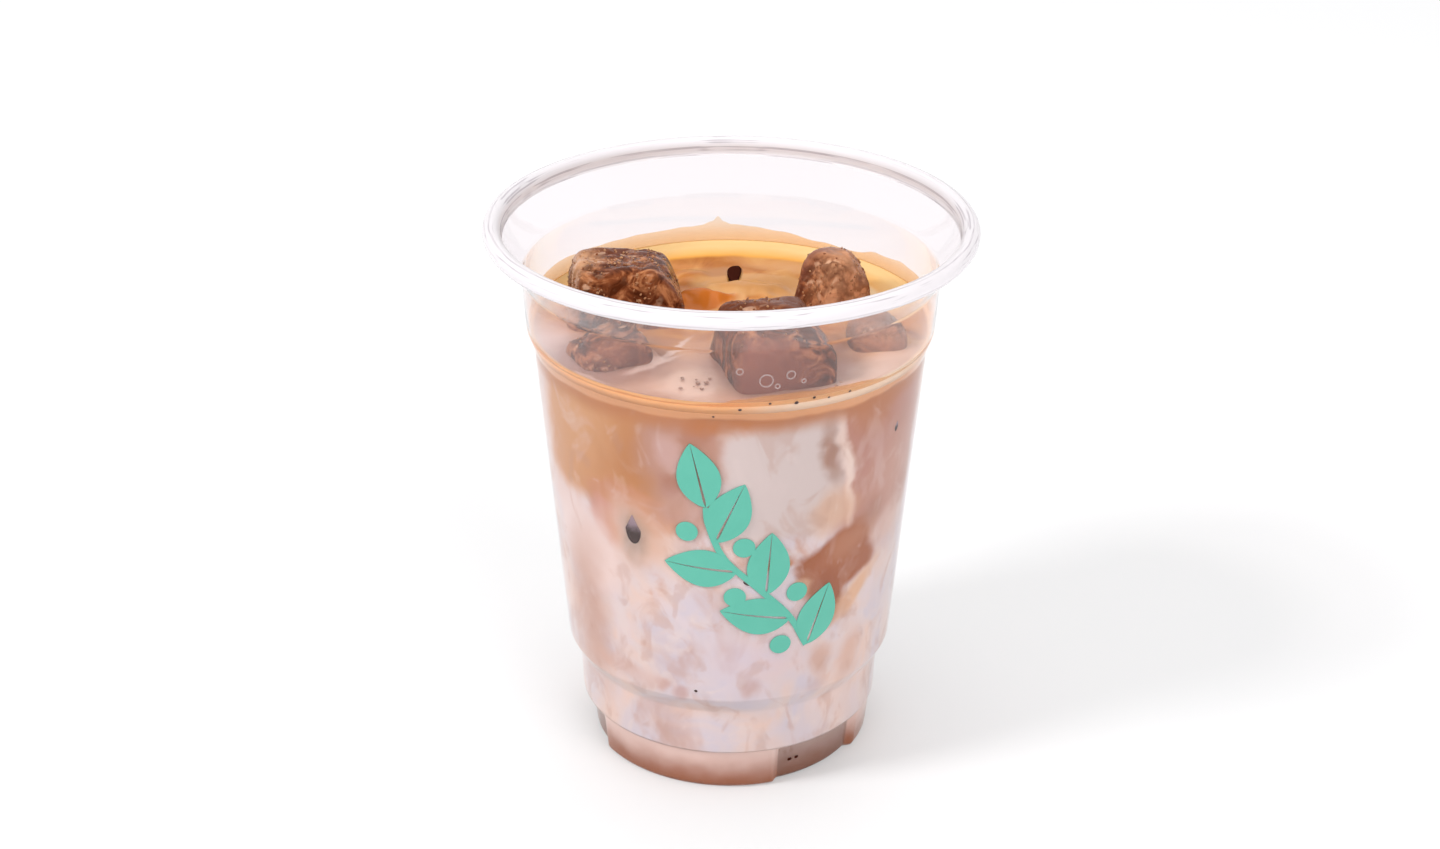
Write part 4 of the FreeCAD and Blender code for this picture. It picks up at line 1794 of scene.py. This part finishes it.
@dataclass
class PrintedSprig:
    """A leafy sprig in mint ink on the outside of the wall: leaves and berries along a bent stem."""

    shape: CupShape
    finish: Mottled = PRINT_INK
    leaf_length: float = 14.5
    leaf_width: float = 8.6
    leaf_count: int = 6
    leaf_spread: float = 46.0
    berry_radius: float = 2.2
    berry_reach: float = 4.6
    berry_count: int = 5
    stem_width: float = 1.3
    thickness: float = 0.03
    low: float = 23.8
    high: float = 89.3
    stem: tuple[Point, ...] = (
        (16.0, 36.0), (12.0, 44.0), (5.5, 51.5), (-1.0, 58.5), (-4.0, 66.0), (-4.5, 70.0))

    def _stem_line(self) -> Mesh:
        """Returns the stem's smooth midline, across along X and up along Z, in metres."""
        control = [Vector(p) for p in self.stem]
        control = [control[0] * 2 - control[1]] + control + [control[-1] * 2 - control[-2]]
        line = []
        for a, b, c, d in zip(control, control[1:], control[2:], control[3:]):
            for i in range(8):
                t = i / 8
                line.append(0.5 * (2 * b + (c - a) * t + (2 * a - 5 * b + 4 * c - d) * t * t
                                   + (3 * b - a - 3 * c + d) * t ** 3))
        line.append(control[-2])
        data = bpy.data.meshes.new("stem_line")
        data.from_pydata([(p.x * MM, 0.0, p.y * MM) for p in line],
                         [(i, i + 1) for i in range(len(line) - 1)], [])
        return data

    def _blade(self) -> Object:
        """Returns one flat leaf that points along X, with a cut along its midrib."""
        work = bmesh.new()
        along, across = 22, 4
        for side in (-1, 1):
            rows = []
            for i in range(along + 1):
                s = i / along
                half = self.leaf_width / 2 * math.sin(math.pi * s ** 0.86) ** 0.85
                rib = 0.28 * smooth_step(0.0, 0.12, s) * (1 - s) + 0.02
                rib = min(rib, half)
                rows.append([work.verts.new((s * self.leaf_length * MM, 0.0,
                                             side * (rib + (half - rib) * j / across) * MM))
                             for j in range(across + 1)])
            skin(work, rows, loop=False)
        return self._flat_part(work, "leaf_blade")

    def _berry(self) -> Object:
        """Returns one flat round berry."""
        work = bmesh.new()
        count, rings = 24, 3
        rows = [[work.verts.new((0.0, 0.0, 0.0))]]
        for ring in range(1, rings + 1):
            radius = self.berry_radius * ring / rings * MM
            rows.append([work.verts.new((math.cos(math.tau * k / count) * radius, 0.0,
                                         math.sin(math.tau * k / count) * radius)) for k in range(count)])
        skin(work, rows)
        return self._flat_part(work, "berry_disc")

    def _flat_part(self, work: Work, name: str) -> Object:
        """Turns a flat part's faces to the front and returns it as an object."""
        bmesh.ops.remove_doubles(work, verts=work.verts, dist=0.00002)
        for face in work.faces:
            face.normal_update()
            if face.normal.y > 0:
                face.normal_flip()
        return scene_object(name, mesh_of(work, name))

    def _tree(self) -> Tree:
        """Builds the tree that sets leaves and berries along the stem and wraps them round the wall."""
        lengths = ("Leaf Spread", "Berry Reach", "Stem Width", "Low Radius", "Low Height", "Slope",
                   "Ink Thickness")
        tree, given = new_tree("printed_sprig", [
            ("Leaf", "NodeSocketObject"), ("Berry", "NodeSocketObject"), ("Leaf Count", "NodeSocketInt"),
            ("Berry Count", "NodeSocketInt"), *((name, "NodeSocketFloat") for name in lengths),
            ("Material", "NodeSocketMaterial")])
        curve = add_node(tree, "GeometryNodeMeshToCurve", (given,))
        index = add_node(tree, "GeometryNodeInputIndex")
        odd = add_node(tree, MATH, (index, 2.0), operation="MODULO")
        side = add_node(tree, MATH, (odd, 2.0, -1.0), operation="MULTIPLY_ADD")
        parts = [self._leaves(tree, given, curve, side), self._berries(tree, given, curve, side),
                 self._strip(tree, given, curve)]
        joined = add_node(tree, "GeometryNodeJoinGeometry", (parts,))
        wrapped = self._wrapped(tree, given, add_node(tree, "GeometryNodeRealizeInstances", (joined,)))
        raised = add_node(tree, "GeometryNodeExtrudeMesh", {
            "Mesh": wrapped, "Offset Scale": given.outputs["Ink Thickness"], "Individual": False})
        under = add_node(tree, "GeometryNodeFlipFaces", {"Mesh": wrapped})
        both = add_node(tree, "GeometryNodeJoinGeometry", ([raised, under],))
        closed = add_node(tree, "GeometryNodeMergeByDistance", {"Geometry": both, "Distance": SEAM / 2})
        end_tree(tree, closed, given.outputs["Material"])
        return tree

    def _leaves(self, tree: Tree, given: Any, curve: Any, side: Any) -> Any:
        """Sets a leaf at each point along the stem, turned off to its side, the last one straight on.

        Args:
            tree: the tree.
            given: its input node.
            curve: the stem's curve.
            side: -1 or 1, by turns.

        Returns:
            The leaves.
        """
        tangent = add_node(tree, "GeometryNodeInputTangent")
        run = add_node(tree, SPLIT, (tangent,))
        heading = add_node(tree, MATH, (run.outputs["Z"], run.outputs["X"]), operation="ARCTAN2")
        last = add_node(tree, MATH, (given.outputs["Leaf Count"], 1.5), operation="SUBTRACT")
        index = add_node(tree, "GeometryNodeInputIndex")
        inner = add_node(tree, MATH, (index, last), operation="LESS_THAN")
        spread = add_node(tree, MATH, (side, given.outputs["Leaf Spread"]), operation="MULTIPLY")
        opened = add_node(tree, MATH, (spread, inner, heading), operation="MULTIPLY_ADD")
        down = add_node(tree, MATH, (opened, -1.0), operation="MULTIPLY")
        turn = add_node(tree, "ShaderNodeCombineXYZ", {1: down})
        points = add_node(tree, "GeometryNodeResampleCurve", {
            "Curve": curve, "Count": given.outputs["Leaf Count"]})
        leaf = add_node(tree, "GeometryNodeObjectInfo", {"Object": given.outputs["Leaf"]})
        return add_node(tree, "GeometryNodeInstanceOnPoints", {
            "Points": points, "Instance": leaf.outputs["Geometry"], "Rotation": turn})

    def _berries(self, tree: Tree, given: Any, curve: Any, side: Any) -> Any:
        """Sets berries beside the stem and returns them; the arguments are those of _leaves."""
        between = add_node(tree, "GeometryNodeTrimCurve", {"Curve": curve, 2: 0.1, 3: 0.9}, mode="FACTOR")
        points = add_node(tree, "GeometryNodeResampleCurve", {
            "Curve": between, "Count": given.outputs["Berry Count"]})
        reach = add_node(tree, MATH, (side, given.outputs["Berry Reach"]), operation="MULTIPLY")
        tangent = add_node(tree, "GeometryNodeInputTangent")
        beside = add_node(tree, VECTOR, (tangent, (0.0, -1.0, 0.0)), operation="CROSS_PRODUCT")
        pushed = add_node(tree, VECTOR, {0: beside, "Scale": reach}, operation="SCALE")
        off_stem = add_node(tree, "GeometryNodeSetPosition", {"Geometry": points, "Offset": pushed})
        berry = add_node(tree, "GeometryNodeObjectInfo", {"Object": given.outputs["Berry"]})
        return add_node(tree, "GeometryNodeInstanceOnPoints", {
            "Points": off_stem, "Instance": berry.outputs["Geometry"]})

    def _strip(self, tree: Tree, given: Any, curve: Any) -> Any:
        """Lays a strip of the stem's width along its curve and returns it."""
        strip = add_node(tree, "GeometryNodeMeshGrid", {
            "Size X": 1.0, "Size Y": 1.0, "Vertices X": 64, "Vertices Y": 3})
        own = add_node(tree, SPLIT, (add_node(tree, "GeometryNodeInputPosition"),))
        along = add_node(tree, MATH, (own.outputs["X"], 0.5), operation="ADD")
        spine = add_node(tree, "GeometryNodeSampleCurve", {"Curves": curve, "Factor": along},
                         mode="FACTOR")
        width = add_node(tree, MATH, (own.outputs["Y"], given.outputs["Stem Width"]),
                         operation="MULTIPLY")
        aside = add_node(tree, VECTOR, (spine.outputs["Tangent"], (0.0, -1.0, 0.0)),
                         operation="CROSS_PRODUCT")
        edge = add_node(tree, VECTOR, {0: aside, "Scale": width}, operation="SCALE")
        on_edge = add_node(tree, VECTOR, (spine.outputs["Position"], edge), operation="ADD")
        return add_node(tree, "GeometryNodeSetPosition", {"Geometry": strip, "Position": on_edge})

    def _wrapped(self, tree: Tree, given: Any, flat: Any) -> Any:
        """Wraps the flat print round the wall, its X along the wall, and returns it."""
        own = add_node(tree, SPLIT, (add_node(tree, "GeometryNodeInputPosition"),))
        above = add_node(tree, MATH, (own.outputs["Z"], given.outputs["Low Height"]),
                         operation="SUBTRACT")
        radius = add_node(tree, MATH, (
            above, given.outputs["Slope"], given.outputs["Low Radius"]), operation="MULTIPLY_ADD")
        bearing = add_node(tree, MATH, (own.outputs["X"], radius), operation="DIVIDE")
        front = add_node(tree, MATH, (radius, -1.0), operation="MULTIPLY")
        middle = add_node(tree, "ShaderNodeCombineXYZ", {1: front, 2: own.outputs["Z"]})
        round_wall = add_node(tree, "ShaderNodeVectorRotate", {"Vector": middle, "Angle": bearing},
                              rotation_type="Z_AXIS")
        return add_node(tree, "GeometryNodeSetPosition", {"Geometry": flat, "Position": round_wall})

    def build(self) -> Object:
        """Builds the print and returns it."""
        low_radius, high_radius = self.shape.radius_at(self.low), self.shape.radius_at(self.high)
        leaf, berry = self._blade(), self._berry()
        values = {
            "Leaf": leaf, "Berry": berry, "Leaf Count": self.leaf_count, "Berry Count": self.berry_count,
            "Leaf Spread": math.radians(self.leaf_spread), "Berry Reach": self.berry_reach * MM,
            "Stem Width": self.stem_width * MM, "Low Radius": (low_radius + 0.02) * MM,
            "Low Height": self.low * MM, "Slope": (high_radius - low_radius) / (self.high - self.low),
            "Ink Thickness": self.thickness * MM, "Material": self.finish.make(),
        }
        stem = scene_object("stem_line", self._stem_line())
        print_piece = applied(stem, self._tree(), values, "mint_sprig")
        for part in (leaf, berry):
            bpy.data.objects.remove(part)
        return settle(print_piece)


# ---------------------------------------------------------------- studio


@dataclass
class Lamp:
    """One soft box: where it stands, its size and its power."""

    name: str
    x: float
    y: float
    z: float
    size: float
    power: float
    mirrored: bool = False

    def build(self, target: Vector) -> None:
        """Builds the lamp, turned to the target."""
        data = bpy.data.lights.new(self.name, "AREA")
        data.shape = "DISK"
        data.size = self.size
        data.energy = self.power
        lamp = scene_object(self.name, data)
        lamp.location = (self.x, self.y, self.z)
        lamp.rotation_euler = (target - lamp.location).to_track_quat("-Z", "Y").to_euler()
        lamp.visible_transmission = False
        lamp.visible_glossy = self.mirrored


@dataclass
class Studio:
    """Camera, floor, world and lamps of a plain white product table."""

    camera_back: float = 0.435
    camera_up: float = 0.284
    pan: float = -0.27
    tilt: float = 26.28
    roll: float = 0.25
    lens: float = 59.03
    floor_half: float = 3.0
    floor_gap: float = 0.0001
    floor_colour: str = "#F8F8F9"
    floor_white: float = 0.25
    ambient: float = 0.5
    lamps: tuple[Lamp, ...] = (
        Lamp("key_box", -1.55, -0.66, 1.45, 0.6, 24.0),
        Lamp("fill_box", 1.1, -1.5, 0.9, 1.5, 19.0),
        Lamp("top_box", 0.0, 0.5, 2.2, 1.6, 14.0, mirrored=True),
    )

    def build(self) -> None:
        """Builds the whole studio, the camera first."""
        self._camera()
        self._floor()
        self._world()
        middle = (CAD_BOX[0] + CAD_BOX[1]) / 2
        for lamp in self.lamps:
            lamp.build(middle)

    def _camera(self) -> None:
        """Places the camera in front of the cup, looking down into it."""
        data = bpy.data.cameras.new("camera")
        data.sensor_width = 36.0
        data.sensor_fit = "HORIZONTAL"
        data.lens = self.lens
        data.clip_start = 0.01
        camera = scene_object("camera", data)
        turn = (Matrix.Rotation(-math.radians(self.pan), 4, "Z")
                @ Matrix.Rotation(math.radians(90 - self.tilt), 4, "X")
                @ Matrix.Rotation(math.radians(self.roll), 4, "Z"))
        camera.matrix_world = Matrix.Translation((0.0, -self.camera_back, self.camera_up)) @ turn
        bpy.context.scene.camera = camera

    def _seen_share(self, tree: Tree) -> Any:
        """Returns 1 for rays that the camera sees, straight, mirrored or through glass, else 0."""
        path = add_node(tree, "ShaderNodeLightPath")
        seen = path.outputs["Is Camera Ray"]
        for way in ("Is Glossy Ray", "Is Transmission Ray"):
            seen = add_node(tree, MATH, (seen, path.outputs[way]), operation="MAXIMUM")
        direct = add_node(tree, MATH, (path.outputs["Diffuse Depth"], 0.5), operation="LESS_THAN")
        return add_node(tree, MATH, (seen, direct), operation="MULTIPLY")

    def _floor(self) -> None:
        """Lays the pale floor, which shows as white and keeps the cup's shadow."""
        half = self.floor_half
        data = bpy.data.meshes.new("table_top")
        data.from_pydata([(-half, -half, 0), (half, -half, 0), (half, half, 0), (-half, half, 0)], [],
                         [(0, 1, 2, 3)])
        floor = scene_object("table_top", data)
        floor.location.z = -self.floor_gap
        made, tree, shader, output = new_material("white_table", {
            "Base Color": self.floor_colour, "Roughness": 0.6, "Specular IOR Level": 0.0})
        glow = add_node(tree, "ShaderNodeEmission", {"Strength": 1.0})
        share = add_node(tree, MATH, (self._seen_share(tree), self.floor_white), operation="MULTIPLY")
        mixed = add_node(tree, "ShaderNodeMixShader", (share, shader, glow))
        tree.links.new(mixed.outputs[0], output.inputs["Surface"])
        data.materials.append(made)

    def _world(self) -> None:
        """Makes the world: white behind the cup, a little greyer on the camera's side, dim as light."""
        world = bpy.data.worlds.new("white_room")
        bpy.context.scene.world = world
        world.use_nodes = True
        world.cycles.sampling_method = "NONE"
        tree = world.node_tree
        tree.nodes.clear()
        where = add_node(tree, "ShaderNodeTexCoord")
        parts = add_node(tree, SPLIT, (where.outputs["Generated"],))
        front = add_node(tree, RANGE, {0: parts.outputs["Y"], 1: -0.55, 2: -0.1, 3: 0.86},
                         interpolation_type="SMOOTHSTEP")
        strength = add_node(tree, "ShaderNodeMix", {
            0: self._seen_share(tree), 2: self.ambient, 3: front}, data_type="FLOAT")
        back = add_node(tree, "ShaderNodeBackground", {"Color": "#FFFFFF", "Strength": strength})
        add_node(tree, "ShaderNodeOutputWorld", {"Surface": back})


def main() -> None:
    """Builds the studio and every piece in order, and reports each one."""
    logging.basicConfig(level=logging.INFO, format="%(name)s: %(message)s")
    bpy.context.scene.view_settings.view_transform = "Standard"
    Studio().build()
    shape, foot = CupShape(), FootShape()
    crema_low, crema_high = (corner.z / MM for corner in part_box("crema"))
    Drink(shape, foot, crema_low).build()
    Crema(shape, crema_low, crema_high).build()
    WallFilm(shape, crema_high).build()
    ice = IcePieces(tuple(sorted(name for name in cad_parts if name.startswith("ice_")))).build()
    FrostCrystals().build(ice)
    FoamBubbles().build(crema_high)
    AirPockets(shape).build()
    SurfaceWell(crema_high).build()
    BubbleRings(shape).build()
    ClearCup(shape, foot).build()
    PrintedSprig(shape).build()


if __name__ == "__main__":
    main()
